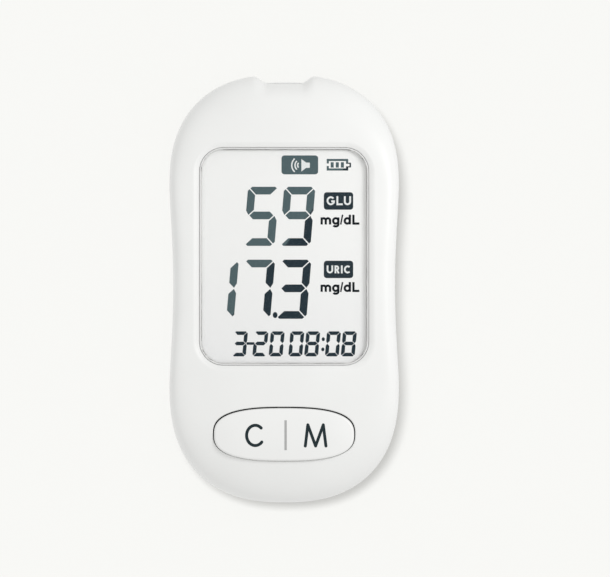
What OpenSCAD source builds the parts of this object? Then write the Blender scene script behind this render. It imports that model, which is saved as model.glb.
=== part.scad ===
/* [Case] */
// Length of the case over its two ends
case_l = 94; // [88:1:104]
// Width of the case at its widest
case_w = 50.6; // [48:0.2:58]
// How far each side is drawn in at the waist
waist_dip = 0.84; // [0:0.02:1.6]
// Length of the rounded top end
top_round = 24.8; // [20:0.2:27]
// Length of the rounded bottom end
bottom_round = 25.9; // [20:0.2:28]
// How square the two ends are in plan, 2 is an ellipse
plan_power = 2.45; // [2.1:0.05:3]
// Height of the seam between the covers above the table
seam_z = 10.5; // [9.5:0.1:11]
// Wall of both covers
wall = 1.5; // [1.3:0.05:1.8]
// How far the front face rolls in at the sides
front_roll_side = 5.5; // [4:0.1:7]
// How far the front face rolls in at the top end
front_roll_top = 15; // [10:0.5:15]
// How far the front face rolls down at the bottom end
front_roll_bottom = 24; // [18:0.5:25]
// How far the back rolls in at the sides
back_roll_side = 5; // [3.5:0.1:6]
// How far the back rolls in at the two ends
back_roll_end = 10; // [7:0.5:10.5]
// Height of the lip inside the seam
seam_lip_h = 0.8; // [0.4:0.1:1.4]
// Thickness of the lip inside the seam
seam_lip_t = 0.75; // [0.6:0.05:1]

/* [Display] */
// Distance from the top end of the case to the clear lens
lens_from_top = 15.89; // [15:0.01:18]
// Distance from the bottom end of the case to the clear lens
lens_from_bottom = 30.41; // [29.5:0.01:34]
// Distance from each side of the case to the clear lens
lens_from_side = 6.75; // [6.2:0.05:9]
// Corner radius of the lens
lens_r = 5.2; // [3:0.1:7]
// Thickness of the lens
lens_t = 1.0; // [0.8:0.1:1.4]
// Width of the sloping frame round the lens
bevel_w = 1.2; // [0.6:0.1:1.2]
// Depth of the sloping frame round the lens
bevel_h = 0.4; // [0.2:0.05:0.6]
// Width of the ledge that the lens is glued on
ledge_w = 0.6; // [0.4:0.05:1]
// Thickness of the ledge that the lens is glued on
ledge_t = 0.5; // [0.4:0.05:0.8]
// Thickness of the glue line under the lens
glue_t = 0.1; // [0.06:0.02:0.2]
// Thickness of the foam between the ledge and the display glass
foam_t = 0.3; // [0.2:0.05:0.6]
// How far the display glass reaches past the lens at each side
glass_past_side = 1.25; // [0.9:0.05:1.4]
// How far the display glass reaches past the lens at each end
glass_past_end = 0.95; // [0.9:0.05:1.2]
// Thickness of the display glass
glass_t = 1.7; // [1.4:0.1:2.2]
// Thickness of the light guide behind the glass
guide_t = 1.4; // [1:0.1:2]
// Wall of the frame that holds the glass on the board
holder_wall = 0.8; // [0.6:0.05:0.9]
// Width of each rubber contact strip
contact_strip_w = 1.8; // [1.4:0.1:2.2]

/* [Rocker key] */
// Length of the key across the case
key_l = 30.8; // [26:0.2:32]
// Width of the key up the case
key_w = 11.6; // [10:0.2:12]
// How square the key is in plan
key_power = 2.7; // [2.2:0.05:3.2]
// Distance from the bottom end of the case to the middle of the key
key_from_bottom = 15.1; // [14.2:0.1:16]
// How far the crown of the key stands above the face
key_proud = 0.5; // [0.3:0.05:0.9]
// How much lower the top of the key is at its rim
key_crown = 0.35; // [0.1:0.05:0.5]
// Depth of the key's skirt below the face
key_skirt = 2.8; // [2.2:0.1:3]
// Tilt of the key from level to either side
key_tilt = 3; // [2:0.25:3.5]
// Diameter of the two pins that the key rocks on
key_pin_d = 1.6; // [1.4:0.05:1.8]
// Distance from the middle of the key to each plunger
plunger_x = 9; // [7:0.25:11]
// Diameter of each plunger
plunger_d = 3.2; // [2.4:0.1:4]
// Height of each rubber dome above its sheet
dome_h = 1.0; // [0.7:0.05:1.2]
// Thickness of the rubber sheet
keypad_t = 0.4; // [0.3:0.05:0.45]

/* [Strip port] */
// Depth of the notch in the top end
notch_depth = 1.75; // [0.8:0.05:2.2]
// Distance from the middle to each shoulder of the notch
notch_half_out = 6.9; // [5.8:0.1:8]
// Half of the width of the flat in the notch
notch_half_in = 3.75; // [3:0.05:4.5]
// How far the notch runs into the face
notch_fade = 6; // [3:0.5:10]
// Width of the slot for the strip
slot_w = 7.6; // [6.6:0.1:8.4]
// Height of the slot for the strip
slot_h = 1.2; // [0.9:0.05:1.5]
// How far the lip under the slot stands out past the wall over it
slot_lip = 0.45; // [0.2:0.05:0.6]
// Distance from the board down to the middle of the slot
slot_drop = 2.3; // [2:0.05:2.6]
// Depth of the strip connector
connector_l = 9; // [7:0.5:10]
// Wall of the connector beside the slot
connector_side = 2.2; // [1.6:0.1:2.4]
// Wall of the connector behind the slot
connector_back = 1.5; // [1:0.1:2]
// Wall of the connector under the slot
connector_floor = 1.2; // [0.8:0.1:1.4]
// Number of spring contacts in the connector
contact_count = 5; // [3:1:6]
// Width of each spring contact
contact_w = 0.6; // [0.4:0.05:0.7]
// Thickness of each spring contact
contact_t = 0.2; // [0.15:0.01:0.25]

/* [Power] */
// Diameter of one cell
cell_d = 10.5; // [10:0.1:10.5]
// Length of one cell over its button
cell_l = 44.5; // [43.5:0.1:44.5]
// Diameter of a cell's button
button_d = 3.8; // [3.4:0.1:4]
// Height of a cell's button
button_h = 0.9; // [0.8:0.05:1.2]
// Distance from the bottom end of the case to the room for the cells
room_from_bottom = 9.1; // [8.6:0.1:9.6]
// Length of each coil contact
coil_l = 3.9; // [3.5:0.1:4.5]
// Wire diameter of the coil contacts
coil_wire = 0.5; // [0.4:0.05:0.55]
// Turns of each coil contact
coil_turns = 3.25; // [2.25:0.25:3.25]
// Thickness of the contact plates
plate_t = 0.4; // [0.3:0.05:0.5]
// Wall of the compartment for the cells
tub_wall = 1.0; // [0.8:0.05:1.2]
// Thickness of the compartment's ceiling
tub_roof = 0.8; // [0.7:0.05:1.2]
// Height of the tongues that hold the door
tongue_h = 0.75; // [0.6:0.05:1]
// How far the tongues reach under the rear cover
tongue_reach = 1.2; // [0.8:0.05:1.4]
// Width of the tab of a contact plate
tab_w = 2; // [1.5:0.1:2.5]
// Height of the bumps that touch the cells
contact_bump = 0.4; // [0.3:0.05:0.6]
// Number of grip grooves in the door
grip_count = 6; // [3:1:8]

/* [Speaker] */
// Diameter of the speaker
speaker_d = 13; // [11:0.5:14]
// Height of the speaker's basket
basket_h = 2.6; // [2:0.1:3.5]
// Diameter of the speaker's magnet
magnet_d = 6.5; // [5:0.5:8]
// Height of the speaker's magnet
magnet_h = 1.6; // [1.2:0.1:2]
// Distance from the side of the case to the middle of the speaker
speaker_from_side = 12.7; // [12:0.1:13.3]
// Distance from the compartment to the edge of the speaker
speaker_past_room = 3.8; // [2.4:0.1:5]
// Diameter of each sound hole
sound_hole_d = 1.1; // [0.8:0.05:1.3]
// Spacing of the rings of sound holes
sound_hole_pitch = 1.9; // [1.7:0.05:2]

/* [Board] */
// Thickness of the circuit board
board_t = 1.2; // [1:0.1:1.6]
// Gap between the edge of the board and the inside of the front cover
board_gap = 0.6; // [0.3:0.1:2]

/* [Fasteners] */
// Diameter of the screw threads
screw_d = 1.96; // [1.76:0.02:2.1]
// Diameter of the case screw heads
case_head_d = 3.8; // [3.2:0.1:4]
// Height of the case screw heads
case_head_h = 1.3; // [1:0.1:1.6]
// Height of the seat of the case screws above the table
case_seat_z = 5; // [3:0.1:6]
// Depth of thread in the front cover
case_thread_l = 3.5; // [2.5:0.1:3.8]
// Diameter of the board screw heads
board_head_d = 3.2; // [2.8:0.1:3.4]
// Height of the board screw heads
board_head_h = 1.1; // [0.8:0.1:1.4]
// Depth of thread of the board screws in the front cover
board_thread_l = 3.3; // [2.5:0.1:3.4]
// Wall of the screw bosses round the thread
boss_wall = 1.3; // [1:0.05:1.4]

/* [Clearances] */
// Gap between the lens and its recess
lens_gap = 0.15; // [0.1:0.01:0.25]
// Gap between the key and its opening
key_gap = 0.3; // [0.25:0.01:0.4]
// Radial clearance of the key's pins in their seats
pin_gap = 0.05; // [0.03:0.01:0.1]
// Gap between a plunger and its dome with the key level
plunger_gap = 0.2; // [0.1:0.02:0.3]
// Gap between the door and the rear cover
door_gap = 0.15; // [0.1:0.01:0.2]
// Gap round each cell
cell_gap = 0.2; // [0.15:0.01:0.3]
// Radial gap round a screw thread in its pilot hole
thread_gap = 0.02; // [0.01:0.01:0.05]
// Gap between pieces that drop into each other
drop_gap = 0.1; // [0.06:0.01:0.2]
// Gap between the seam lip and the front cover
lip_gap = 0.2; // [0.15:0.01:0.3]

/* [Hidden] */
$fn = 48;

shell_white = [0.93, 0.93, 0.92];
key_white = [0.95, 0.95, 0.94];
inner_white = [0.94, 0.94, 0.93];
lens_clear = [0.88, 0.93, 0.96, 0.35];
tape_white = [0.85, 0.85, 0.83];
foam_grey = [0.22, 0.23, 0.24];
display_grey = [0.90, 0.91, 0.90];
guide_white = [0.96, 0.97, 0.98];
led_yellow = [0.98, 0.93, 0.62];
strip_pink = [0.90, 0.62, 0.60];
rubber_grey = [0.78, 0.80, 0.82];
board_green = [0.12, 0.42, 0.26];
chip_black = [0.12, 0.12, 0.13];
part_tan = [0.72, 0.60, 0.42];
connector_black = [0.16, 0.17, 0.18];
brass_gold = [0.82, 0.68, 0.36];
jacket_blue = [0.20, 0.42, 0.62];
spring_steel = [0.76, 0.77, 0.78];
basket_grey = [0.62, 0.63, 0.65];
cone_grey = [0.30, 0.31, 0.33];
magnet_grey = [0.45, 0.46, 0.48];
felt_black = [0.25, 0.25, 0.26];
lead_red = [0.70, 0.12, 0.10];

// How far a cut runs past the face that it opens
past = 1;
// How far one shape of a piece reaches into the next
bite = 0.2;

// Heights, from the table up: door, cells, compartment roof, board, display, lens, face
cell_r = cell_d / 2;
cell_z = wall + cell_gap + cell_r;
roof_z = cell_z + cell_r + cell_gap;
roof_top = roof_z + tub_roof;
board_lift = 0.2;
board_z = roof_top + board_lift;
board_top = board_z + board_t;
glass_z = board_top + guide_t;
foam_z = glass_z + glass_t;
ledge_z = foam_z + foam_t;
glue_z = ledge_z + ledge_t;
lens_z = glue_z + glue_t;
lens_top = lens_z + lens_t;
face_z = lens_top + bevel_h;
front_h = face_z - seam_z;

// Plan of the case: two rounded ends, and sides drawn in at the waist
half_w = case_w / 2;
shoulder_drop = 1 - pow(1 - pow(notch_half_out / half_w, plan_power), 1 / plan_power);
top_apex = case_l / 2 + top_round * shoulder_drop;
top_cy = top_apex - top_round;
bottom_cy = bottom_round - case_l / 2;
waist_power = 1.5;
end_steps = 13;
side_steps = 8;
shoulder_steps = 10;
notch_steps = 8;
notch_margin = 2.1;
notch_zone = notch_half_out + notch_margin;

// Turns from the seam (0) to the flat (90) at which the rolled edge has a ring of points
front_turns = [0, 12, 28, 42, 53, 63, 72, 80, 86, 90];
back_turns = [0, 20, 38, 53, 66, 78, 90];
inner_turns = [0, 12, 28, 45, 62, 78, 90];
// Distances and powers of the rolls: at the sides, at the top end, at the bottom end
front_rolls = [front_roll_side, front_roll_top, front_roll_bottom];
front_powers = [5, 3, 2.6];
back_rolls = [back_roll_side, back_roll_end, back_roll_end];
back_powers = [2.5, 2.5, 2.5];

// The lip inside the seam
lip_root = 1.6;
lip_bite = 0.3;

// Window
lens_w = case_w - 2 * lens_from_side;
lens_h = case_l - lens_from_top - lens_from_bottom;
lens_y = (lens_from_bottom - lens_from_top) / 2;
recess_w = lens_w + 2 * lens_gap;
recess_h = lens_h + 2 * lens_gap;
recess_r = lens_r + lens_gap;
view_w = recess_w - 2 * ledge_w;
view_h = recess_h - 2 * ledge_w;
view_r = recess_r - ledge_w;
ledge_ring = 1.2;
frame_step = 0.08;
corner_steps = 8;

// Display
glass_w = lens_w + 2 * glass_past_side;
glass_h = lens_h + 2 * glass_past_end;
foam_in = 0.3;
foam_out = 1.1;
strip_from_end = 0.3;
strip_y = glass_h / 2 - contact_strip_w / 2 - strip_from_end;
guide_side_room = 2;
guide_w = glass_w - 2 * guide_side_room;
guide_h = 2 * (strip_y - contact_strip_w / 2 - drop_gap);
led_t = 1.0;
led_w = 3;
led_h = 1.1;
led_apart = 20;
holder_w = glass_w + 2 * (holder_wall + drop_gap);
holder_h = glass_h + 2 * (holder_wall + drop_gap);
holder_r = 1.2;
holder_below_glass = 0.5;
holder_top = foam_z - holder_below_glass;
peg_r = 0.6;
peg_in = 0.75;
peg_from_end = 8;
peg_past_board = 0.3;
peg_root = 0.5;
peg_at = [for (sx = [-1, 1], sy = [-1, 1])
    [sx * (holder_w / 2 - peg_in), lens_y + sy * (holder_h / 2 - peg_from_end)]];
frame_y0 = lens_y - holder_h / 2;
frame_y1 = lens_y + holder_h / 2;

// Key
key_cy = key_from_bottom - case_l / 2;
key_top = face_z + key_proud;
key_bottom = face_z - key_skirt;
key_edge = 0.6;
key_crown_in = 0.6;
key_crown_rings = 3;
key_points = 48;
key_pin_r = key_pin_d / 2;
pin_floor = 0.4;
key_pin_z = board_top + pin_floor + key_pin_r;
hub_half_w = 1.5;
hub_below_pin = 0.6;
hub_below_key = 0.4;
hub_past_opening = 0.3;
hub_half_l = key_w / 2 + key_gap + hub_past_opening;
ear_gap = 0.4;
ear_t = 1.4;
ear_half_w = 1.9;
ear_in = hub_half_l + ear_gap;
ear_out = ear_in + ear_t;
snap_share = 0.8;
keypad_top = board_top + keypad_t;
dome_top = keypad_top + dome_h;
dome_foot_r = 3.4;
dome_crown_r = 2.2;
dome_hollow_r = 2;
dome_travel = plunger_x * sin(key_tilt);
plunger_z = dome_top + plunger_gap;
pad_past_plunger = 4.5;
pad_to_seat = 0.5;
pad_half_l = plunger_x + pad_past_plunger;
pad_half_w = ear_in - pad_to_seat;
pad_r = 2;

// Door and compartment
cells_apart = 0.3;
cell_edge = 0.25;
cell_pitch = cell_d + cells_apart;
room_side = 0.3;
room_half = cell_pitch / 2 + cell_r + room_side;
room_y0 = room_from_bottom - case_l / 2;
room_y1 = room_y0 + cell_l + coil_l + 2 * plate_t + contact_bump;
room_end = room_y1 + tub_wall;
door_past_side = 1.25;
door_past_top = 0.3;
tail_past_room = 1.4;
tongue_lift = 0.1;
door_half = room_half + door_past_side;
door_y1 = room_end + door_past_top;
tail_y = room_y0 + tail_past_room;
tongue_root = 1;
tongue_x0 = door_half - tongue_root;
tongue_x1 = door_half + tongue_reach;
tongue_z0 = wall + tongue_lift;
tongue_z1 = tongue_z0 + tongue_h;
tongue_from_tail = 1.5;
tongue_from_top = 0.7;
tongue_y0 = tail_y + tongue_from_tail;
tongue_y1 = room_y1 - tongue_from_top;
rail_z0 = tongue_z1 + door_gap;
rail_t = 1;
rail_x1 = tongue_x1 + door_gap;
rail_x2 = rail_x1 + tub_wall;
tail_past_tongue = 0.8;
tail_half = tongue_x1 + tail_past_tongue;
sill_gap = 0.3;
shelf_t = 1.2;
shelf_gap = 0.6;
shelf_past_tail = 2;
divider_t = 1.4;
divider_h = 1.2;
ridge_half_w = 4;
ridge_t = 0.6;
ridge_in = 0.5;
ridge_gap = 0.06;
grip_w = 0.8;
grip_pitch = 1.7;
grip_depth = 0.45;
grip_half_l = 5;
grip_from_top = 6;

// Contacts of the cells
plate_gap = 0.1;
plate_half_w = 4;
bridge_from_side = 0.6;
bump_r = 1.6;
tab_below_top = 0.2;
coil_foot_r = 3.15;
coil_crown_r = 1.9;
coil_sides = 6;
coil_rings_per_turn = 8;

// Strip port
connector_gap = 1;
connector_half = slot_w / 2 + connector_side;
connector_y1 = top_apex - notch_depth - wall - connector_gap;
connector_y0 = connector_y1 - connector_l;
slot_z = board_z - slot_drop;
connector_z0 = slot_z - slot_h / 2 - connector_floor;
funnel = 0.5;
leaf_room = 0.15;
leaf_groove_h = 1.5;
leaf_rise = 0.55;
leaf_dip = 0.15;
leaf_ramp = 1.2;
leaf_from_mouth = 2.2;
tail_past_connector = 1.2;

// Board
processor_w = 6;
processor_h = 1.4;
voice_chip_w = 5;
voice_chip_l = 4;
voice_chip_h = 1.5;
memory_w = 4;
memory_l = 3;
memory_h = 1.1;
part_w = 1.6;
part_l = 0.9;
part_h = 0.7;
part_pitch = 2.6;
crystal_r = 1;
crystal_l = 6;
zone_y0 = room_end;
zone_y1 = connector_y0 - tail_past_connector;
row_1_y = mix(zone_y0, zone_y1, 0.24);
chip_y = mix(zone_y0, zone_y1, 0.55);
row_2_y = mix(zone_y0, zone_y1, 0.86);
processor_x = 1.5;
side_chip_x = 12.5;
row_1_x = -3;
row_2_x = -2.6;
crystal_x = 9.2;

// Speaker
speaker_r = speaker_d / 2;
speaker_x = half_w - speaker_from_side;
speaker_y = room_end + speaker_past_room + speaker_r;
speaker_wall = 0.8;
ring_below_basket = 0.6;
felt_t = 0.3;
felt_w = 1.2;
felt_in = 0.1;
magnet_r = magnet_d / 2;
basket_rim = 1.2;
basket_wall = 0.8;
basket_roof = 0.5;
basket_hole_in = 1.4;
basket_z = wall + felt_t;
basket_top = basket_z + basket_h;
cone_t = 0.25;
cone_in = 0.9;
cone_roll = 0.7;
cone_lift = 0.6;
cone_rise = 0.9;
cone_dome = 0.75;
lead_r = 0.35;
lead_apart = 2.4;
lead_out = magnet_r + 1.35;
lead_in = 1;
lead_steps = 14;
lead_sides = 8;

// Fasteners
screw_r = screw_d / 2;
pilot_r = screw_r + thread_gap;
pilot_past = 0.25;
shank_gap = 0.17;
shank_hole_r = screw_r + shank_gap;
boss_r = pilot_r + boss_wall;
boss_gap = 0.3;
head_gap = 0.15;
head_wall = 0.6;
case_hole_r = case_head_d / 2 + head_gap;
case_boss_r = case_hole_r + head_wall;
case_screw_l = seam_z + case_thread_l - case_seat_z;
top_screw_from_side = 9.8;
top_screw_past_frame = 0.94;
low_screw_from_side = 6.7;
low_screw_past_frame = 1.86;
case_top_x = half_w - top_screw_from_side;
case_top_y = frame_y1 + boss_r + top_screw_past_frame;
case_low_x = half_w - low_screw_from_side;
case_low_y = frame_y0 - boss_r - low_screw_past_frame;
board_top_gap = 1.4;
board_low_gap = 0.35;
board_past_case = 1;
board_short_of_case = 0.4;
board_top_x = connector_half + board_head_d / 2 + board_top_gap;
board_top_y = case_top_y + board_past_case;
board_low_x = room_half + tub_wall + board_head_d / 2 + board_low_gap;
board_low_y = case_low_y + board_short_of_case;
case_screw_at = [for (s = [1, -1]) each [[s * case_top_x, case_top_y], [s * case_low_x, case_low_y]]];
board_screw_at = [for (s = [1, -1]) each [[s * board_top_x, board_top_y], [s * board_low_x, board_low_y]]];
drive_w = 0.5;
drive_share = 0.6;
drive_depth = 0.7;

// ---- functions ----

function ease(t) = let (s = min(1, max(0, t))) s * s * (3 - 2 * s);
function mix(a, b, t) = a + (b - a) * t;

// Points of the right-hand side of the plan, from the bottom end up to the top end
function plan_right() =
    let (
        n = plan_power,
        stop = acos(pow(notch_zone / half_w, n / 2)),
        reach = top_cy - bottom_cy
    )
    concat(
        [for (i = [0 : end_steps]) let (t = 90 * (1 - i / end_steps))
            [half_w * pow(cos(t), 2 / n), bottom_cy - bottom_round * pow(sin(t), 2 / n)]],
        [for (i = [1 : side_steps]) let (s = 2 * i / side_steps - 1)
            [half_w - waist_dip * pow(1 - s * s, waist_power), bottom_cy + reach * i / side_steps]],
        [for (i = [1 : shoulder_steps]) let (t = stop * i / shoulder_steps)
            [half_w * pow(cos(t), 2 / n), top_cy + top_round * pow(sin(t), 2 / n)]],
        [for (i = [1 : notch_steps]) let (x = notch_zone * (1 - i / notch_steps))
            [x, top_cy + top_round * pow(1 - pow(x / half_w, n), 1 / n)]]
    );

// The whole plan, anticlockwise from the bottom end
function plan_all() =
    let (right = plan_right())
    concat(right, [for (i = [len(right) - 2 : -1 : 1]) [-right[i].x, right[i].y]]);

PLAN = plan_all();

// How much of an end's own roll a point of the plan has: 0 along the sides, 1 at the apex
function endness(y) = y > 0 ? ease((y - top_cy) / top_round) : ease((bottom_cy - y) / bottom_round);

// Depth of the port notch at x, where the edge has rolled in by inset
function notch_at(x, inset) =
    notch_depth * ease((notch_half_out - abs(x)) / (notch_half_out - notch_half_in))
    * ease(1 - inset / notch_fade);

// The power of a roll at a point of the plan: powers are for the sides, the top end and the bottom end
function roll_power(p, powers) = mix(powers[0], p.y > 0 ? powers[1] : powers[2], endness(p.y));

// A point of the plan drawn in by skin_in and by its share of the rolls, and cut by the notch
function rolled(p, share, skin_in, rolls) =
    let (
        up = p.y > 0,
        in_x = skin_in + rolls[0] * share,
        in_y = skin_in + (up ? rolls[1] : rolls[2]) * share,
        x = p.x * (1 - in_x / half_w),
        y = p.y * (1 - in_y / (up ? top_apex : case_l / 2))
    )
    [x, y - (up ? notch_at(x, in_y - skin_in) : 0)];

// One ring of a rolled edge: turn runs from 0 at the seam to 90 on the flat
function roll_ring(turn, skin_in, rise, rolls, powers) =
    [for (p = PLAN)
        let (k = roll_power(p, powers), q = rolled(p, 1 - pow(cos(turn), 2 / k), skin_in, rolls))
        [q.x, q.y, rise * pow(sin(turn), 2 / k)]];

// Outline of the room inside the front cover at height z, drawn in by gap
function front_slice(z, gap) =
    [for (p = PLAN)
        let (k = roll_power(p, front_powers), s = pow((z - seam_z) / (front_h - wall), k / 2))
        rolled(p, 1 - pow(1 - s * s, 1 / k), wall + gap, front_rolls)];

// The plan drawn in by d, with its notch
function plan_inset(d) = [for (p = roll_ring(0, d, 0, [0, 0, 0], [2, 2, 2])) [p.x, p.y]];

// Points of a rounded rectangle at height z
function rounded_ring(w, h, r, z) =
    [for (c = [0 : 3], i = [0 : corner_steps])
        let (a = 90 * c + 90 * i / corner_steps, sx = (c == 0 || c == 3) ? 1 : -1, sy = c < 2 ? 1 : -1)
        [sx * (w / 2 - r) + r * cos(a), sy * (h / 2 - r) + r * sin(a), z]];

// Points of the key's outline drawn in by d, at height z
function key_ring(d, z) =
    [for (i = [0 : key_points - 1])
        let (a = 360 * i / key_points, c = cos(a), s = sin(a))
        [
            (key_l / 2 - d) * sign(c) * pow(abs(c), 2 / key_power),
            (key_w / 2 - d) * sign(s) * pow(abs(s), 2 / key_power),
            z
        ]];

// Points of a box's outline at height z
function box_ring(w, h, z) = [[w / 2, h / 2, z], [-w / 2, h / 2, z], [-w / 2, -h / 2, z], [w / 2, -h / 2, z]];

// Place of a spring contact across the connector
function contact_x(i) = (i - (contact_count - 1) / 2) * (slot_w - 2 * contact_w) / (contact_count - 1);

// Middle line of a speaker lead at x, from the basket up to the board
function lead_path(x) =
    [for (i = [0 : lead_steps]) let (t = i / lead_steps, s = ease((t - 0.15) / 0.7))
        [x, speaker_y + mix(lead_out, lead_in, s), mix(basket_top, board_z, t)]];

// Rings round the wire of a cone-shaped coil whose axis is Y
function coil_centre(t) =
    let (a = 360 * coil_turns * t, r = mix(coil_foot_r, coil_crown_r, t))
    [r * cos(a), mix(coil_wire / 2, coil_l - coil_wire / 2, t), r * sin(a)];
coil_rings = ceil(coil_turns * coil_rings_per_turn);
coil_centres = [for (i = [0 : coil_rings]) coil_centre(i / coil_rings)];

// Points round a path: each ring stands square to the path at its point
function tube_rings(path, radius, sides) =
    [for (i = [0 : len(path) - 1])
        let (
            ahead = path[min(i + 1, len(path) - 1)] - path[max(i - 1, 0)],
            along = ahead / norm(ahead),
            pick = abs(along.y) < 0.8 ? [0, 1, 0] : [1, 0, 0],
            across = cross(pick, along) / norm(cross(pick, along)),
            over = cross(along, across)
        )
        [for (j = [0 : sides - 1]) let (a = 360 * j / sides)
            path[i] + radius * (cos(a) * across + sin(a) * over)]];

// Least gap of the coil to itself: points more than half a turn apart, less the wire
coil_self_gap = min([for (i = [0 : coil_rings], j = [0 : coil_rings]) if (j - i >= 5)
    norm(coil_centres[i] - coil_centres[j])]) - coil_wire;
echo(str("least gap of a coil contact to itself, mm: ", coil_self_gap));

// ---- shared shapes ----

// A closed skin through rings of equal count, from the first ring's cap to the last ring's cap
module skin(rings) {
    n = len(rings[0]);
    m = len(rings);
    polyhedron(
        points = [for (ring = rings) each ring],
        faces = concat(
            [[for (i = [0 : n - 1]) i]],
            [for (k = [0 : m - 2], i = [0 : n - 1]) let (j = (i + 1) % n)
                [k * n + i, (k + 1) * n + i, (k + 1) * n + j]],
            [for (k = [0 : m - 2], i = [0 : n - 1]) let (j = (i + 1) % n)
                [k * n + i, (k + 1) * n + j, k * n + j]],
            [[for (i = [n - 1 : -1 : 0]) (m - 1) * n + i]]
        )
    );
}

// A dished shell: the inner skin down to the rim, then the outer skin back up
module shell(turns, rise, rolls, powers) {
    inner = [for (i = [len(inner_turns) - 1 : -1 : 0])
        roll_ring(inner_turns[i], wall, rise - wall, rolls, powers)];
    outer = [for (turn = turns) roll_ring(turn, 0, rise, rolls, powers)];
    skin(concat(inner, outer));
}

module front_shell() {
    translate([0, 0, seam_z])
        shell(front_turns, front_h, front_rolls, front_powers);
}

module back_shell() {
    translate([0, 0, seam_z])
        mirror([0, 0, 1])
            shell(back_turns, seam_z, back_rolls, back_powers);
}

// The solid that reaches to the middle of a shell's wall: it trims what stands on the inside
module core(rise, rolls, powers) {
    skin([for (turn = inner_turns) roll_ring(turn, wall / 2, rise - wall / 2, rolls, powers)]);
}

module front_core() {
    translate([0, 0, seam_z])
        core(front_h, front_rolls, front_powers);
}

module back_core() {
    translate([0, 0, seam_z])
        mirror([0, 0, 1])
            core(seam_z, back_rolls, back_powers);
}

// A box by its low and high corners
module block(low, high) {
    translate(low) cube(high - low);
}

module rounded_plate(w, h, r, z0, z1) {
    translate([0, lens_y, z0])
        linear_extrude(z1 - z0)
            rounded_outline(w, h, r);
}

module rounded_outline(w, h, r) {
    square([w - 2 * r, h], center = true);
    square([w, h - 2 * r], center = true);
    for (sx = [-1, 1], sy = [-1, 1])
        translate([sx * (w / 2 - r), sy * (h / 2 - r)])
            circle(r);
}

module post(at, r, z0, z1) {
    translate([at.x, at.y, z0]) cylinder(r = r, h = z1 - z0);
}

// A screw with its head below: seat is the height of the underside of the head
module screw(at, seat, head_d, head_h, length) {
    difference() {
        union() {
            post(at, head_d / 2, seat - head_h, seat);
            post(at, screw_r, seat, seat + length);
        }
        for (turn = [0, 90])
            translate([at.x, at.y, seat - head_h])
                rotate([0, 0, turn])
                    cube([head_d * drive_share, drive_w, 2 * drive_depth], center = true);
    }
}

// ---- covers ----

// The sloping frame round the lens: it starts a small step outside the recess
module lens_frame_cut() {
    grow = bevel_w * (1 + bite / bevel_h);
    translate([0, lens_y, 0])
        skin([
            rounded_ring(recess_w + 2 * frame_step, recess_h + 2 * frame_step, recess_r + frame_step, lens_top),
            rounded_ring(recess_w + 2 * grow, recess_h + 2 * grow, recess_r + grow, face_z + bite)
        ]);
}

module key_opening() {
    translate([0, key_cy, board_top])
        linear_extrude(face_z)
            polygon([for (p = key_ring(-key_gap, 0)) [p.x, p.y]]);
}

// The block of a seat for one of the key's two pins
module pin_seat(side) {
    y0 = key_cy + (side > 0 ? ear_in : -ear_out);
    block([-ear_half_w, y0, board_top + pin_floor], [ear_half_w, y0 + ear_t, face_z]);
}

// The round bore of a pin's seat, with a narrower way in from below
module pin_bore(side) {
    y0 = key_cy + (side > 0 ? ear_in : -ear_out) - bite;
    way_in = key_pin_r * snap_share;
    translate([0, y0, key_pin_z])
        rotate([-90, 0, 0])
            cylinder(r = key_pin_r + pin_gap, h = ear_t + 2 * bite);
    block([-way_in, y0, board_top], [way_in, y0 + ear_t + 2 * bite, key_pin_z]);
}

// The slot for the strip, its flared mouth, and the step that leaves its lower lip standing out
module strip_slot() {
    mouth = top_apex - notch_depth;
    block([-slot_w / 2, connector_y1 - past, slot_z - slot_h / 2], [slot_w / 2, top_apex, slot_z + slot_h / 2]);
    translate([0, mouth, slot_z])
        rotate([-90, 0, 0])
            skin([
                box_ring(slot_w, slot_h, -funnel),
                box_ring(slot_w + 4 * funnel, slot_h + 4 * funnel, funnel)
            ]);
    block([-slot_w / 2, mouth - slot_lip, slot_z], [slot_w / 2, top_apex + past, face_z + past]);
}

module front_cover() {
    color(shell_white)
    difference() {
        union() {
            front_shell();
            intersection() {
                union() {
                    rounded_plate(recess_w + 2 * ledge_ring, recess_h + 2 * ledge_ring,
                        recess_r + ledge_ring, ledge_z, face_z);
                    for (at = case_screw_at)
                        post(at, boss_r, seam_z, face_z);
                    for (at = board_screw_at)
                        post(at, boss_r, board_top, face_z);
                    for (side = [-1, 1])
                        pin_seat(side);
                }
                front_core();
            }
        }
        rounded_plate(recess_w, recess_h, recess_r, glue_z, face_z + past);
        rounded_plate(view_w, view_h, view_r, ledge_z - past, face_z);
        lens_frame_cut();
        key_opening();
        strip_slot();
        for (side = [-1, 1])
            pin_bore(side);
        for (at = case_screw_at)
            post(at, pilot_r, seam_z - past, seam_z + case_thread_l + pilot_past);
        for (at = board_screw_at)
            post(at, pilot_r, board_top - past, board_top + board_thread_l + pilot_past);
    }
}

// The space that the door takes out of the back, widened all round by g
module door_space(g, top) {
    block([-door_half - g, -case_l, -past], [door_half + g, door_y1 + g, tongue_z1 + g]);
    block([-tail_half - g, -case_l, -past], [tail_half + g, tail_y + g, top]);
}

// The way that the door's tongues slide along, over the floor of the rear cover
module tongue_way() {
    block([-rail_x1, tail_y - past, wall], [rail_x1, tongue_y1 + drop_gap, rail_z0]);
}

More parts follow.
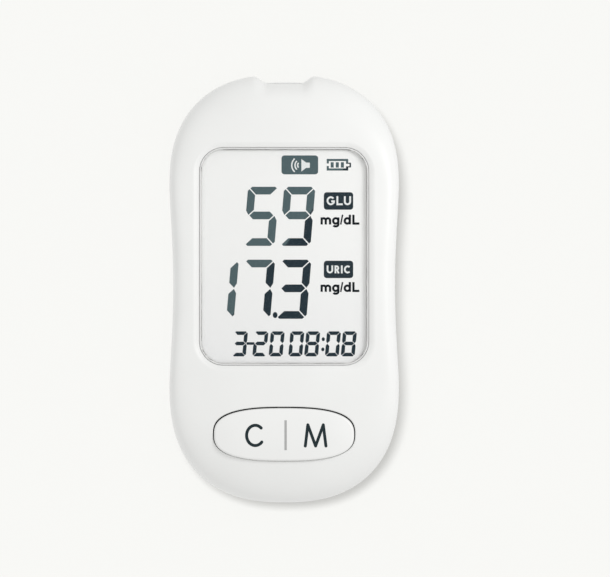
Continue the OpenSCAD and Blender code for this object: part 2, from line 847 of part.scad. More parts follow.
// The room for the cells: roof, walls, the rails over the door's tongues, and a rib between the cells
module compartment() {
    y0 = room_y0 - tub_wall;
    side = room_half + tub_wall;
    block([-side, y0, roof_z], [side, room_end, roof_top]);
    for (end_y = [y0, room_y1])
        block([-side, end_y, rail_z0], [side, end_y + tub_wall, roof_top]);
    block([-room_half, room_y1, wall + sill_gap], [room_half, room_end, rail_z0]);
    for (s = [-1, 1]) {
        x0 = min(s * room_half, s * side);
        x1 = min(s * room_half, s * rail_x2);
        x2 = min(s * rail_x1, s * rail_x2);
        block([x0, y0, rail_z0], [x0 + tub_wall, room_end, roof_top]);
        block([x1, tail_y + door_gap, rail_z0], [x1 + rail_x2 - room_half, room_end, rail_z0 + rail_t]);
        block([x2, tail_y + door_gap, wall - bite], [x2 + tub_wall, room_end, rail_z0 + rail_t]);
    }
    block([-divider_t / 2, room_y0 + plate_t + plate_gap, roof_z - divider_h],
        [divider_t / 2, room_y1 - plate_t - plate_gap, roof_z]);
}

// The shelf that closes the case behind the door's turned-up end
module end_shelf() {
    reach = tail_half + shelf_past_tail;
    intersection() {
        block([-reach, -case_l / 2, seam_z - shelf_t], [reach, room_y0 - tub_wall + bite, seam_z]);
        translate([0, 0, seam_z - shelf_t - past])
            linear_extrude(shelf_t + 2 * past)
                polygon(plan_inset(wall + shelf_gap));
    }
}

module seam_lip() {
    difference() {
        union() {
            translate([0, 0, seam_z - lip_root])
                linear_extrude(lip_root)
                    polygon(plan_inset(wall - lip_bite));
            translate([0, 0, seam_z])
                linear_extrude(seam_lip_h)
                    polygon(plan_inset(wall + lip_gap));
        }
        translate([0, 0, seam_z - lip_root - past])
            linear_extrude(lip_root + seam_lip_h + 2 * past)
                polygon(plan_inset(wall + lip_gap + seam_lip_t));
        block([-tail_half - shelf_gap, -case_l, 0], [tail_half + shelf_gap, tail_y, face_z]);
        block([-connector_half - shelf_gap, connector_y0, 0], [connector_half + shelf_gap, top_apex + past, face_z]);
    }
}

module sound_holes() {
    translate([-speaker_x, speaker_y, -past]) {
        cylinder(d = sound_hole_d, h = wall + 2 * past);
        for (ring = [1, 2], i = [0 : 6 * ring - 1])
            rotate([0, 0, 60 * i / ring])
                translate([ring * sound_hole_pitch, 0, 0])
                    cylinder(d = sound_hole_d, h = wall + 2 * past);
    }
}

// The slot for the tab of a contact plate, through what lies between z0 and z1
module tab_slot(side, z0, z1) {
    x = side * cell_pitch / 2;
    block([x - tab_w / 2 - drop_gap, room_y1 - plate_t - drop_gap, z0],
        [x + tab_w / 2 + drop_gap, room_y1 + drop_gap, z1]);
}

module rear_cover() {
    speaker_at = [-speaker_x, speaker_y];
    seat_r = speaker_r + drop_gap;
    color(shell_white)
    difference() {
        union() {
            difference() {
                union() {
                    back_shell();
                    seam_lip();
                }
                door_space(door_gap, seam_z + past);
                tongue_way();
            }
            compartment();
            end_shelf();
            intersection() {
                union() {
                    for (at = case_screw_at)
                        post(at, case_boss_r, 0, seam_z);
                    post(speaker_at, seat_r + speaker_wall, 0, basket_top - ring_below_basket);
                }
                back_core();
            }
        }
        post(speaker_at, seat_r, wall, seam_z - past);
        for (at = case_screw_at) {
            post(at, case_hole_r, -past, case_seat_z);
            post(at, shank_hole_r, case_seat_z - past, seam_z + past);
        }
        sound_holes();
        for (side = [-1, 1])
            tab_slot(side, roof_z - past, roof_top + past);
    }
}

module battery_door() {
    color(shell_white)
    difference() {
        union() {
            intersection() {
                back_shell();
                door_space(0, seam_z - door_gap);
            }
            for (s = [-1, 1]) {
                tongue_x = min(s * tongue_x0, s * tongue_x1);
                root_x = min(s * tongue_x0, s * door_half);
                block([tongue_x, tongue_y0, tongue_z0], [tongue_x + tongue_x1 - tongue_x0, tongue_y1, tongue_z1]);
                block([root_x, tongue_y0, wall - bite], [root_x + tongue_root, tongue_y1, tongue_z1]);
            }
            // the ridge that clicks under the end wall of the compartment
            block([-ridge_half_w, room_y0 + ridge_in, wall - bite],
                [ridge_half_w, room_y0 + ridge_in + ridge_t, rail_z0 - ridge_gap]);
        }
        for (i = [0 : grip_count - 1])
            translate([0, door_y1 - grip_from_top - i * grip_pitch, 0]) {
                block([-grip_half_l, -grip_w / 2, -past], [grip_half_l, grip_w / 2, grip_depth]);
                for (s = [-1, 1])
                    translate([grip_half_l * s, 0, -past])
                        cylinder(d = grip_w, h = grip_depth + past);
            }
    }
}

// ---- display ----

module display_lens() {
    color(lens_clear)
        rounded_plate(lens_w, lens_h, lens_r, lens_z, lens_top);
}

module lens_adhesive() {
    color(tape_white)
    difference() {
        rounded_plate(lens_w, lens_h, lens_r, glue_z, lens_z);
        rounded_plate(view_w, view_h, view_r, glue_z - past, lens_z + past);
    }
}

module display_foam() {
    color(foam_grey)
    difference() {
        rounded_plate(view_w + 2 * foam_out, view_h + 2 * foam_out, view_r + foam_out, foam_z, ledge_z);
        rounded_plate(view_w + 2 * foam_in, view_h + 2 * foam_in, view_r + foam_in, foam_z - past, ledge_z + past);
    }
}

// The front sheet reaches over the contact strips, and the back sheet ends between them
module lcd_glass() {
    middle = glass_z + glass_t / 2;
    color(display_grey)
    translate([0, lens_y, 0]) {
        block([-glass_w / 2, -guide_h / 2, glass_z], [glass_w / 2, guide_h / 2, middle]);
        block([-glass_w / 2, -glass_h / 2, middle], [glass_w / 2, glass_h / 2, foam_z]);
    }
}

module light_guide() {
    color(guide_white)
    translate([0, lens_y, 0])
        block([-guide_w / 2, -guide_h / 2, board_top], [guide_w / 2, guide_h / 2, glass_z]);
}

module backlight_leds() {
    color(led_yellow)
    for (s = [-1, 1])
        translate([guide_w / 2 + drop_gap, lens_y + s * led_apart / 2 - led_w / 2, board_top])
            cube([led_t, led_w, led_h]);
}

module lcd_holder() {
    color(inner_white)
    union() {
        difference() {
            rounded_plate(holder_w, holder_h, holder_r, board_top, holder_top);
            translate([0, lens_y, 0])
                block([-glass_w / 2 - drop_gap, -glass_h / 2 - drop_gap, board_top - past],
                    [glass_w / 2 + drop_gap, glass_h / 2 + drop_gap, holder_top + past]);
        }
        for (at = peg_at)
            post(at, peg_r, board_z - peg_past_board, board_top + peg_root);
    }
}

module contact_strips() {
    color(strip_pink)
    for (s = [-1, 1])
        translate([0, lens_y + s * strip_y, 0])
            block([-guide_w / 2, -contact_strip_w / 2, board_top],
                [guide_w / 2, contact_strip_w / 2, glass_z + glass_t / 2]);
}

// ---- key ----

// The crown rises from the rounded edge to the middle of the key
module key_body() {
    edge_z = key_top - key_crown;
    skin(concat(
        [key_ring(0, key_bottom)],
        [for (turn = [0, 30, 60, 90])
            key_ring(key_edge * (1 - cos(turn)), edge_z - key_edge * (1 - sin(turn)))],
        [for (i = [1 : key_crown_rings]) let (s = i / key_crown_rings)
            key_ring(mix(key_edge, key_w / 2 - key_crown_in, s), key_top - key_crown * pow(1 - s, 2))]
    ));
}

module rocker_key() {
    color(key_white)
    translate([0, key_cy, 0])
    union() {
        key_body();
        block([-hub_half_w, -hub_half_l, key_pin_z - hub_below_pin],
            [hub_half_w, hub_half_l, key_bottom - hub_below_key]);
        block([-hub_half_w, -key_w / 2 + key_edge, key_pin_z], [hub_half_w, key_w / 2 - key_edge, key_bottom + bite]);
        translate([0, -ear_out, key_pin_z])
            rotate([-90, 0, 0])
                cylinder(r = key_pin_r, h = 2 * ear_out);
        for (s = [-1, 1])
            post([s * plunger_x, 0], plunger_d / 2, plunger_z, key_bottom + bite);
    }
}

// A sheet with a dome under each plunger, hollow by as much as the plunger travels
module keypad() {
    color(rubber_grey)
    translate([0, key_cy, 0])
    difference() {
        union() {
            translate([0, 0, board_top])
                linear_extrude(keypad_t)
                    rounded_outline(2 * pad_half_l, 2 * pad_half_w, pad_r);
            for (s = [-1, 1])
                translate([s * plunger_x, 0, keypad_top - bite])
                    cylinder(r1 = dome_foot_r, r2 = dome_crown_r, h = dome_h + bite);
        }
        for (s = [-1, 1])
            post([s * plunger_x, 0], dome_hollow_r, board_top - past, keypad_top + dome_travel);
    }
}

// ---- board ----

module circuit_board() {
    color(board_green)
    difference() {
        translate([0, 0, board_z])
            linear_extrude(board_t)
                polygon(front_slice(board_top, board_gap));
        for (at = case_screw_at)
            post(at, boss_r + boss_gap, board_z - past, board_top + past);
        for (at = board_screw_at)
            post(at, shank_hole_r, board_z - past, board_top + past);
        for (at = peg_at)
            post(at, peg_r + drop_gap, board_z - past, board_top + past);
        for (side = [-1, 1])
            tab_slot(side, board_z - past, board_top + past);
    }
}

// A chip under the board, by its middle
module chip(x, y, w, l, h) {
    block([x - w / 2, y - l / 2, board_z - h], [x + w / 2, y + l / 2, board_z]);
}

// Processor, voice chip and memory
module board_chips() {
    color(chip_black) {
        chip(processor_x, chip_y, processor_w, processor_w, processor_h);
        chip(side_chip_x, chip_y, voice_chip_w, voice_chip_l, voice_chip_h);
        chip(side_chip_x, row_1_y, memory_w, memory_l, memory_h);
    }
}

// Small capacitors and resistors in two rows, and the clock crystal's can
module board_parts() {
    color(part_tan) {
        for (i = [0 : 4])
            chip(row_1_x + part_pitch * i, row_1_y, part_w, part_l, part_h);
        for (i = [0 : 3])
            chip(row_2_x + part_pitch * i, row_2_y, part_w, part_l, part_h);
        translate([crystal_x, row_2_y, board_z - crystal_r])
            rotate([0, 90, 0])
                cylinder(r = crystal_r, h = crystal_l);
    }
}

module strip_connector() {
    groove = contact_w / 2 + leaf_room;
    color(connector_black)
    difference() {
        block([-connector_half, connector_y0, connector_z0], [connector_half, connector_y1, board_z]);
        block([-slot_w / 2, connector_y0 + connector_back, slot_z - slot_h / 2],
            [slot_w / 2, connector_y1 + past, slot_z + slot_h / 2]);
        for (i = [0 : contact_count - 1])
            translate([contact_x(i), 0, slot_z])
                block([-groove, connector_y0 - past, 0], [groove, connector_y1 - connector_back, leaf_groove_h]);
    }
}

// Bent leaf contacts: a tail on the board, a run over the slot and a bowed tip in it
module strip_contacts() {
    y0 = connector_y0 - tail_past_connector;
    y1 = connector_y1 - leaf_from_mouth;
    low = slot_z + leaf_dip;
    run = slot_z + slot_h / 2 + leaf_rise;
    color(brass_gold)
    for (i = [0 : contact_count - 1])
        translate([contact_x(i) - contact_w / 2, 0, 0])
            rotate([90, 0, 90])
                linear_extrude(contact_w)
                    polygon([
                        [y0, board_z], [y0, run], [y1 - 2 * leaf_ramp, run], [y1 - leaf_ramp, low],
                        [y1, run - contact_t], [y1, run], [y1 - leaf_ramp, low + 1.6 * contact_t],
                        [y1 - 2 * leaf_ramp + contact_t / 2, run + contact_t],
                        [y0 + contact_t, run + contact_t], [y0 + contact_t, board_z]
                    ]);
}

// ---- power ----

// A cell along Y: side is -1 for the left one, whose button points up the case
module cell(side) {
    up = side < 0;
    y0 = room_y0 + plate_t + (up ? coil_l : contact_bump);
    body_l = cell_l - button_h;
    translate([side * cell_pitch / 2, y0 + cell_l / 2, cell_z])
        rotate([up ? -90 : 90, 0, 0])
            translate([0, 0, -cell_l / 2])
                rotate_extrude()
                    polygon([
                        [0, 0], [cell_r - cell_edge, 0], [cell_r, cell_edge], [cell_r, body_l - cell_edge],
                        [cell_r - cell_edge, body_l], [button_d / 2, body_l], [button_d / 2, cell_l], [0, cell_l]
                    ]);
}

module battery_left() {
    color(jacket_blue) cell(-1);
}

module battery_right() {
    color(jacket_blue) cell(1);
}

// A flat contact plate standing against the wall at y, from x0 to x1
module contact_plate(x0, x1, y) {
    block([x0, y, rail_z0 + plate_gap], [x1, y + plate_t, roof_z - plate_gap]);
}

// A bump on a contact plate, from y to where it touches the cell at x
module bump(x, y) {
    translate([x, y, cell_z])
        rotate([-90, 0, 0])
            cylinder(r = bump_r, h = plate_t / 2 + contact_bump);
}

module bridge_plate() {
    half = room_half - bridge_from_side;
    color(spring_steel)
    union() {
        contact_plate(-half, half, room_y0);
        bump(cell_pitch / 2, room_y0 + plate_t / 2);
    }
}

module tabbed_plate(side) {
    x = side * cell_pitch / 2;
    contact_plate(x - plate_half_w, x + plate_half_w, room_y1 - plate_t);
    block([x - tab_w / 2, room_y1 - plate_t, roof_z - bite], [x + tab_w / 2, room_y1, board_top - tab_below_top]);
}

module positive_plate() {
    color(spring_steel)
    union() {
        tabbed_plate(-1);
        bump(-cell_pitch / 2, room_y1 - plate_t - contact_bump);
    }
}

module negative_plate() {
    color(spring_steel) tabbed_plate(1);
}

module coil() {
    skin(tube_rings(coil_centres, coil_wire / 2, coil_sides));
}

module bridge_coil() {
    color(spring_steel)
        translate([-cell_pitch / 2, room_y0 + plate_t, cell_z])
            coil();
}

module negative_coil() {
    color(spring_steel)
        translate([cell_pitch / 2, room_y1 - plate_t, cell_z])
            rotate([0, 0, 180])
                coil();
}

// ---- speaker ----

// Turns a profile round the speaker's axis, at height z
module at_speaker(z) {
    translate([-speaker_x, speaker_y, z])
        rotate_extrude()
            children();
}

module speaker_felt() {
    color(felt_black)
    at_speaker(wall)
        translate([speaker_r - felt_in - felt_w, 0])
            square([felt_w, felt_t]);
}

module speaker_basket() {
    r = speaker_r;
    hole = magnet_r - basket_hole_in;
    inner = r - basket_wall;
    color(basket_grey)
    at_speaker(basket_z)
        polygon([
            [r - basket_rim, 0], [r, 0], [r, basket_h - basket_roof], [r - cone_in, basket_h],
            [hole, basket_h], [hole, basket_h - basket_roof], [inner - cone_lift, basket_h - basket_roof],
            [inner, basket_h - 2 * basket_roof], [inner, cone_lift], [r - basket_rim, cone_lift]
        ]);
}

module speaker_cone() {
    r = speaker_r - cone_in;
    middle = [[0, cone_dome], [magnet_r / 2, cone_lift], [magnet_r * 0.8, cone_rise], [r - cone_roll, 0.1], [r, 0]];
    last = len(middle) - 1;
    color(cone_grey)
    at_speaker(basket_z + cone_lift)
        polygon(concat(middle, [for (i = [last : -1 : 0]) middle[i] + [0, cone_t]]));
}

module speaker_magnet() {
    color(magnet_grey)
    translate([-speaker_x, speaker_y, basket_top])
        cylinder(r = magnet_r, h = magnet_h);
}

// Two leads from the basket's tabs up to the underside of the board
module speaker_leads() {
    color(lead_red)
    for (s = [-1, 1])
        skin(tube_rings(lead_path(-speaker_x + s * lead_apart / 2), lead_r, lead_sides));
}

// ---- fasteners ----

module case_screws() {
    color(spring_steel)
    for (at = case_screw_at)
        screw(at, case_seat_z, case_head_d, case_head_h, case_screw_l);
}

module board_screws() {
    color(spring_steel)
    for (at = board_screw_at)
        screw(at, board_z, board_head_d, board_head_h, board_t + board_thread_l);
}

front_cover();
rear_cover();
battery_door();
display_lens();
lens_adhesive();
display_foam();
lcd_glass();
light_guide();
backlight_leds();
lcd_holder();
contact_strips();
rocker_key();
keypad();
circuit_board();
board_chips();
board_parts();
strip_connector();
strip_contacts();
battery_left();
battery_right();
bridge_plate();
bridge_coil();
positive_plate();
negative_plate();
negative_coil();
speaker_basket();
speaker_cone();
speaker_magnet();
speaker_felt();
speaker_leads();
case_screws();
board_screws();
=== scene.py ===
"""A blood glucose meter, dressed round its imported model.

The covers, the door, the key, its keypad, the lens and the two coil contacts are modelled again as smooth
solids from the same few sizes, the display gets its segments, and every other inner piece keeps its own shape
under a moulded, metal or rubber finish. Lengths are in millimetres until a mesh is made, which is in metres.
"""

import math

import bpy
import numpy as np
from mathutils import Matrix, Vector


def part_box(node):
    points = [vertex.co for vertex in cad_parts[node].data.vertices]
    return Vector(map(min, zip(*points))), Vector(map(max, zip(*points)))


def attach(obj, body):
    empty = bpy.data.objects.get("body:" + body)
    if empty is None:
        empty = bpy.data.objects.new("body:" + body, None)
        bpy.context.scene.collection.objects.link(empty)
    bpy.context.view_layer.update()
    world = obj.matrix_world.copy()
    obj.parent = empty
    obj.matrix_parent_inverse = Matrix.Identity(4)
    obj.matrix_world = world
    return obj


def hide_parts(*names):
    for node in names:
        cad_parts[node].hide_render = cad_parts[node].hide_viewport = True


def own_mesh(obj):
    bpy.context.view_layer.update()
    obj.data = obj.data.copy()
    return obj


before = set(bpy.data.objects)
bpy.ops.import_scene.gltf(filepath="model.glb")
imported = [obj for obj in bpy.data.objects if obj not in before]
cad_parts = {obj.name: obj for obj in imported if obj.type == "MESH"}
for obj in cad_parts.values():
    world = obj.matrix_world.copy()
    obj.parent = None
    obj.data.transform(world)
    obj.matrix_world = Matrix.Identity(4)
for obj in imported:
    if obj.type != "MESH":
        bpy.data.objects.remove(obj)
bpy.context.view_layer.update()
MM = 0.001


def node_box(name):
    """Lowest and highest corner of a CAD node, in millimetres."""
    low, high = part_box(name)
    return np.array(low) / MM, np.array(high) / MM


# ---- sizes ----

# The case: its box, its waist, its two ends in plan, and how its edges roll at the sides, top and bottom
FRONT_LOW, FRONT_HIGH = node_box("front_cover")
HALF_W = FRONT_HIGH[0]
HALF_L = -FRONT_LOW[1]
SEAM_Z = FRONT_LOW[2]
FACE_Z = FRONT_HIGH[2]
WALL = 1.5
WAIST_DIP = 0.84
WAIST_POWER = 1.5
TOP_ROUND = 24.8
BOTTOM_ROUND = 25.9
PLAN_POWER = 2.45
FRONT_ROLLS = (5.5, 15.0, 24.0)
FRONT_POWERS = (5.0, 3.0, 2.6)
BACK_ROLLS = (5.0, 10.0, 10.0)
BACK_POWERS = (2.5, 2.5, 2.5)
SEAM_CHAMFER = 0.12

# The notch in the top end, and the two ends' middles
NOTCH_DEPTH = 1.75
NOTCH_OUT = 6.9
NOTCH_IN = 3.75
NOTCH_FADE = 6.0
SHOULDER_DROP = 1 - (1 - (NOTCH_OUT / HALF_W) ** PLAN_POWER) ** (1 / PLAN_POWER)
TOP_APEX = HALF_L + TOP_ROUND * SHOULDER_DROP
TOP_CY = TOP_APEX - TOP_ROUND
BOTTOM_CY = BOTTOM_ROUND - HALF_L

# The window: the clear lens, the ledge that it is glued on and the sloping frame round it
LENS_LOW, LENS_HIGH = node_box("display_lens")
LENS_W, LENS_H = LENS_HIGH[0] - LENS_LOW[0], LENS_HIGH[1] - LENS_LOW[1]
LENS_Y = (LENS_HIGH[1] + LENS_LOW[1]) / 2
LENS_R = 5.2
LENS_GAP = 0.15
LENS_TOP = LENS_HIGH[2]
GLUE_Z = node_box("lens_adhesive")[0][2]
LEDGE_W = 0.6
LEDGE_Z = GLUE_Z - 0.5
LEDGE_RING = 1.2
BEVEL_W = 1.2

# The board, and the screws that hold it and the covers
BOARD_LOW, BOARD_HIGH = node_box("circuit_board")
PILOT_R = 1.0
BOSS_R = 2.3
SEAT_R = 2.65
CASE_THREAD = 3.75
BOARD_THREAD = 3.55
SCREW_FOOT = node_box("case_screws")[0][2]
SCREW_HEAD = 1.3

# The key: half sizes, rounded edge and crown (its innermost ring is drawn in by KEY_SPINE), the gap round it
# (less along the lower edge and at the ends), the pins in their ears, the hub between them and the plungers
KEY_LOW, KEY_HIGH = node_box("rocker_key")
KEY_A, KEY_B = 15.4, 5.8
KEY_POWER = 2.7
KEY_Y = (KEY_HIGH[1] + KEY_LOW[1]) / 2
PRINT_ROOM = 0.02
KEY_TOP = KEY_HIGH[2] - PRINT_ROOM
KEY_CROWN = 0.35
KEY_EDGE = 0.6
KEY_SPINE = KEY_B - 0.6
KEY_BOTTOM = FACE_Z - 2.8
KEY_GAP = 0.3
KEY_CLOSE = 0.13
KEY_END = 0.07
PIN_R = 0.8
PIN_GAP = 0.05
PIN_Z = BOARD_HIGH[2] + 0.4 + PIN_R
EAR_IN, EAR_OUT = KEY_B + 1.0, KEY_B + 2.4
EAR_HALF = 1.9
HUB_HALF = 1.5
HUB_PAST = 0.6
HUB_UNDER = 0.4
PLUNGER_X = 9.0
PLUNGER_R = 1.6
PLUNGER_FOOT = 16.2
KEYPAD_SHEET = 0.4

# The slot of the strip port
CONNECTOR_LOW, CONNECTOR_HIGH = node_box("strip_connector")
SLOT_HALF, SLOT_H = 3.8, 1.2
SLOT_Z = BOARD_LOW[2] - 2.3
SLOT_LIP = 0.3
SLOT_FLARE = 1.0

# The back: the door with its turned-up tail, the compartment and its wall, the tongues and their rails, the sill
# at the door's top edge, the shelf over its tail, the lip inside the seam, the cells' axes and the speaker
DOOR_HALF, DOOR_Y1 = 12.2, node_box("battery_door")[1][1]
DOOR_GAP = 0.15
TUB = 1.0
ROOM_HALF, ROOM_Y0, ROOM_Y1 = 10.95, -37.9, 11.7
ROOM_END = ROOM_Y1 + TUB
SIDE_X, TUB_Y0 = ROOM_HALF + TUB, ROOM_Y0 - TUB
TAIL_HALF, TAIL_Y = 14.2, ROOM_Y0 + 1.4
TONGUE_X0, TONGUE_X1 = 11.2, 13.4
TONGUE_Y0, TONGUE_Y1 = TAIL_Y + 1.5, ROOM_Y1 - 0.7
TONGUE_Z0, TONGUE_Z1 = 1.6, 2.35
RAIL_Z0, RAIL_X1 = TONGUE_Z1 + DOOR_GAP, TONGUE_X1 + DOOR_GAP
RAIL_X2 = RAIL_X1 + TUB
ROOF_Z, ROOF_TOP = 12.4, 13.2
SILL_Y, SILL_T = DOOR_Y1 + DOOR_GAP, 0.8
SHELF_T = 1.2
LIP_H, LIP_T = 0.8, 0.75
CELL_X = 5.4
SPEAKER = (-12.6, 23.0)
SPEAKER_R = 6.6

# The print on the display glass and on the key: how high it stands, letters on a tag, and stroke over stroke
FILM_Z = node_box("lcd_glass")[1][2]
PRINT_LIFT = 0.03
LETTER_LIFT = 0.012
STROKE_STEP = 0.001
KEY_PRINT = 0.012
KEY_PRINT_DEEP = 0.06
TAG_X0, TAG_X1 = 8.74, 15.2
TAG_R = 0.66
UNIT_X = 8.27

# How far solids that become one reach into each other, and the step that keeps two faces out of one plane
BITE = 0.2
FAINT = 0.01

# Points round the case's plan, and steps in a rounded corner
ROUND = 640
CORNER_STEPS = 20


# ---- shapes as arrays ----


def ease(t):
    """3t^2 - 2t^3 between 0 and 1, flat outside."""
    t = np.clip(t, 0, 1)
    return t * t * (3 - 2 * t)


def mix(a, b, t):
    """The value a share t of the way from a to b."""
    return a + (b - a) * t


def plan_outline(count):
    """The case's plan, evenly spaced, anticlockwise from the bottom end.

    Each end is a superellipse |x/a|^n + |y/b|^n = 1, and each side between them is drawn in by
    dip (1 - s^2)^1.5, where s runs from -1 to 1 up the side.
    """
    n = 2 / PLAN_POWER
    t = np.radians(np.linspace(90, 0, 900))
    low = np.stack([HALF_W * np.cos(t) ** n, BOTTOM_CY - BOTTOM_ROUND * np.sin(t) ** n], 1)
    s = np.linspace(-1, 1, 400)[1:-1]
    side_x = HALF_W - WAIST_DIP * (1 - s * s) ** WAIST_POWER
    side = np.stack([side_x, mix(BOTTOM_CY, TOP_CY, (s + 1) / 2)], 1)
    t = np.radians(np.linspace(0, 90, 900))
    top = np.stack([HALF_W * np.cos(t) ** n, TOP_CY + TOP_ROUND * np.sin(t) ** n], 1)
    right = np.concatenate([low, side, top])
    left = right[::-1][1:-1] * (-1, 1)
    return evenly(np.concatenate([right, left]), count)


def evenly(points, count):
    """count points at equal distances along a closed outline."""
    loop = np.concatenate([points, points[:1]])
    run = np.concatenate([[0], np.cumsum(np.linalg.norm(np.diff(loop, axis=0), axis=1))])
    at = np.arange(count) * run[-1] / count
    return np.stack([np.interp(at, run, loop[:, k]) for k in range(2)], 1)


PLAN = plan_outline(ROUND)


def endness(y):
    """0 along the sides and 1 at an end's apex."""
    return np.where(y > 0, ease((y - TOP_CY) / TOP_ROUND), ease((BOTTOM_CY - y) / BOTTOM_ROUND))


def notch_at(x, inset):
    """Depth of the port notch at x, where the edge has rolled in by inset."""
    across = ease((NOTCH_OUT - np.abs(x)) / (NOTCH_OUT - NOTCH_IN))
    return NOTCH_DEPTH * across * ease(1 - inset / NOTCH_FADE)


def rolled(plan, share, skin_in, rolls):
    """The plan drawn in by skin_in and by a share, 0 to 1, of the rolls at its sides and ends."""
    up = plan[:, 1] > 0
    in_x = skin_in + rolls[0] * share
    in_y = skin_in + np.where(up, rolls[1], rolls[2]) * share
    x = plan[:, 0] * (1 - in_x / HALF_W)
    y = plan[:, 1] * (1 - in_y / np.where(up, TOP_APEX, HALF_L))
    return x, y - np.where(up, notch_at(x, in_y - skin_in), 0)


def roll_rings(count, skin_in, rise, rolls, powers, start=0.0):
    """Rings of a rolled edge from the seam to the flat: (count, points, 3), heights above the seam.

    Each column is the superellipse (1 - share)^k + height^k = 1 in polar form: at the angle f its
    radius is (cos^k f + sin^k f)^(-1/k).
    """
    y = PLAN[:, 1]
    k = mix(powers[0], np.where(y > 0, powers[1], powers[2]), endness(y))
    rings = []
    for f in np.linspace(math.radians(start), math.pi / 2, count):
        c, s = max(math.cos(f), 0.0), math.sin(f)
        radius = (c**k + s**k) ** (-1 / k)
        x, y_in = rolled(PLAN, 1 - c * radius, skin_in, rolls)
        rings.append(np.stack([x, y_in, rise * s * radius], 1))
    return np.array(rings)


def front_height(x, y):
    """Height of the front face over points (x, y), by halving the share of the roll at each."""
    x, y = np.asarray(x, float), np.asarray(y, float)
    low, high = np.zeros_like(x), np.ones_like(x)
    up = y > 0
    for _ in range(40):
        share = (low + high) / 2
        in_y = np.where(up, FRONT_ROLLS[1], FRONT_ROLLS[2]) * share
        px = np.abs(x) / (1 - FRONT_ROLLS[0] * share / HALF_W)
        py = y + np.where(up, notch_at(x, in_y), 0)
        py = py / (1 - in_y / np.where(up, TOP_APEX, HALF_L))
        outside = px > plan_half_width(py)
        high, low = np.where(outside, share, high), np.where(outside, low, share)
    y_plan = y / (1 - np.where(up, FRONT_ROLLS[1], FRONT_ROLLS[2]) * low / HALF_L)
    k = mix(FRONT_POWERS[0], np.where(up, FRONT_POWERS[1], FRONT_POWERS[2]), endness(y_plan))
    return SEAM_Z + (FACE_Z - SEAM_Z) * (1 - (1 - low) ** k) ** (1 / k)


def plan_half_width(y):
    """Half of the case's width in plan at y."""
    top = np.clip((y - TOP_CY) / TOP_ROUND, 0, 1)
    bottom = np.clip((BOTTOM_CY - y) / BOTTOM_ROUND, 0, 1)
    s = np.clip(2 * (y - BOTTOM_CY) / (TOP_CY - BOTTOM_CY) - 1, -1, 1)
    end = (1 - np.maximum(top, bottom) ** PLAN_POWER) ** (1 / PLAN_POWER)
    return HALF_W * end - WAIST_DIP * (1 - s * s) ** WAIST_POWER


def rounded_loop(w, h, r, steps=CORNER_STEPS):
    """A rounded rectangle about the origin, anticlockwise."""
    a = np.linspace(0, math.pi / 2, steps + 1)
    r = max(r, 0.01)
    corners = []
    for k, (sx, sy) in enumerate([(1, 1), (-1, 1), (-1, -1), (1, -1)]):
        t = a + k * math.pi / 2
        corners.append(np.stack([sx * (w / 2 - r) + r * np.cos(t), sy * (h / 2 - r) + r * np.sin(t)], 1))
    return np.concatenate(corners)


def key_loop(inset, count=240):
    """The key's outline, a superellipse, drawn in by inset."""
    t = np.linspace(0, 2 * math.pi, count, endpoint=False)
    c, s = np.cos(t), np.sin(t)
    x = (KEY_A - inset) * np.sign(c) * np.abs(c) ** (2 / KEY_POWER)
    y = (KEY_B - inset) * np.sign(s) * np.abs(s) ** (2 / KEY_POWER)
    return evenly(np.stack([x, y], 1), count)


def stack(loops, heights):
    """Rings from outlines of equal count, each at its height or at its points' own heights."""
    return np.array([np.column_stack([p, np.broadcast_to(z, len(p))]) for p, z in zip(loops, heights)])


def skin(rings, flip=False):
    """A closed surface through rings, capped at both ends: (points, faces)."""
    m, n = rings.shape[:2]
    k = np.arange(m - 1)[:, None] * n
    i = np.arange(n)[None, :]
    j = (i + 1) % n
    quads = np.stack([k + i, k + j, k + n + j, k + n + i], -1).reshape(-1, 4)
    caps = [np.arange(n)[::-1], np.arange(n) + (m - 1) * n]
    faces = [quads] + [c[None, :] for c in caps]
    if flip:
        faces = [f[:, ::-1] for f in faces]
    return rings.reshape(-1, 3), faces


def block(low, high):
    """A box by two corners."""
    (x0, y0, z0), (x1, y1, z1) = low, high
    loop = np.array([[x0, y0], [x1, y0], [x1, y1], [x0, y1]])
    return skin(stack([loop, loop], [z0, z1]))


def turned(at, profile, count=48, axis=2):
    """A profile of (radius, height) turned about an axis through at: 2 is upright, 1 runs along Y."""
    t = np.linspace(0, 2 * math.pi, count, endpoint=False)
    circle = np.stack([np.cos(t), np.sin(t)], 1)
    rings = np.array([np.column_stack([circle * max(r, 1e-3), np.full(count, h)]) for r, h in profile])
    if axis == 1:
        rings = rings[..., [0, 2, 1]] * (-1, 1, 1)
    return skin(rings + np.array(at))


def prism(loop, z0, z1):
    """A closed prism: the outline loop carried straight up from z0 to z1."""
    return skin(stack([loop, loop], [z0, z1]))


def tube(path, radius, sides=12):
    """A round tube along a path: each ring stands square to the path at its point."""
    ahead = np.gradient(path, axis=0)
    ahead /= np.linalg.norm(ahead, axis=1)[:, None]
    pick = np.where(np.abs(ahead[:, 1:2]) < 0.8, (0.0, 1.0, 0.0), (1.0, 0.0, 0.0))
    across = np.cross(pick, ahead)
    across /= np.linalg.norm(across, axis=1)[:, None]
    over = np.cross(ahead, across)
    t = np.linspace(0, 2 * math.pi, sides, endpoint=False)[None, :, None]
    return skin(path[:, None, :] + radius * (np.cos(t) * across[:, None] + np.sin(t) * over[:, None]))


def plan_loop(inset):
    """The plan drawn in by inset, with its notch."""
    return np.stack(rolled(PLAN, 0.0, inset, (0, 0, 0)), 1)


# ---- meshes ----


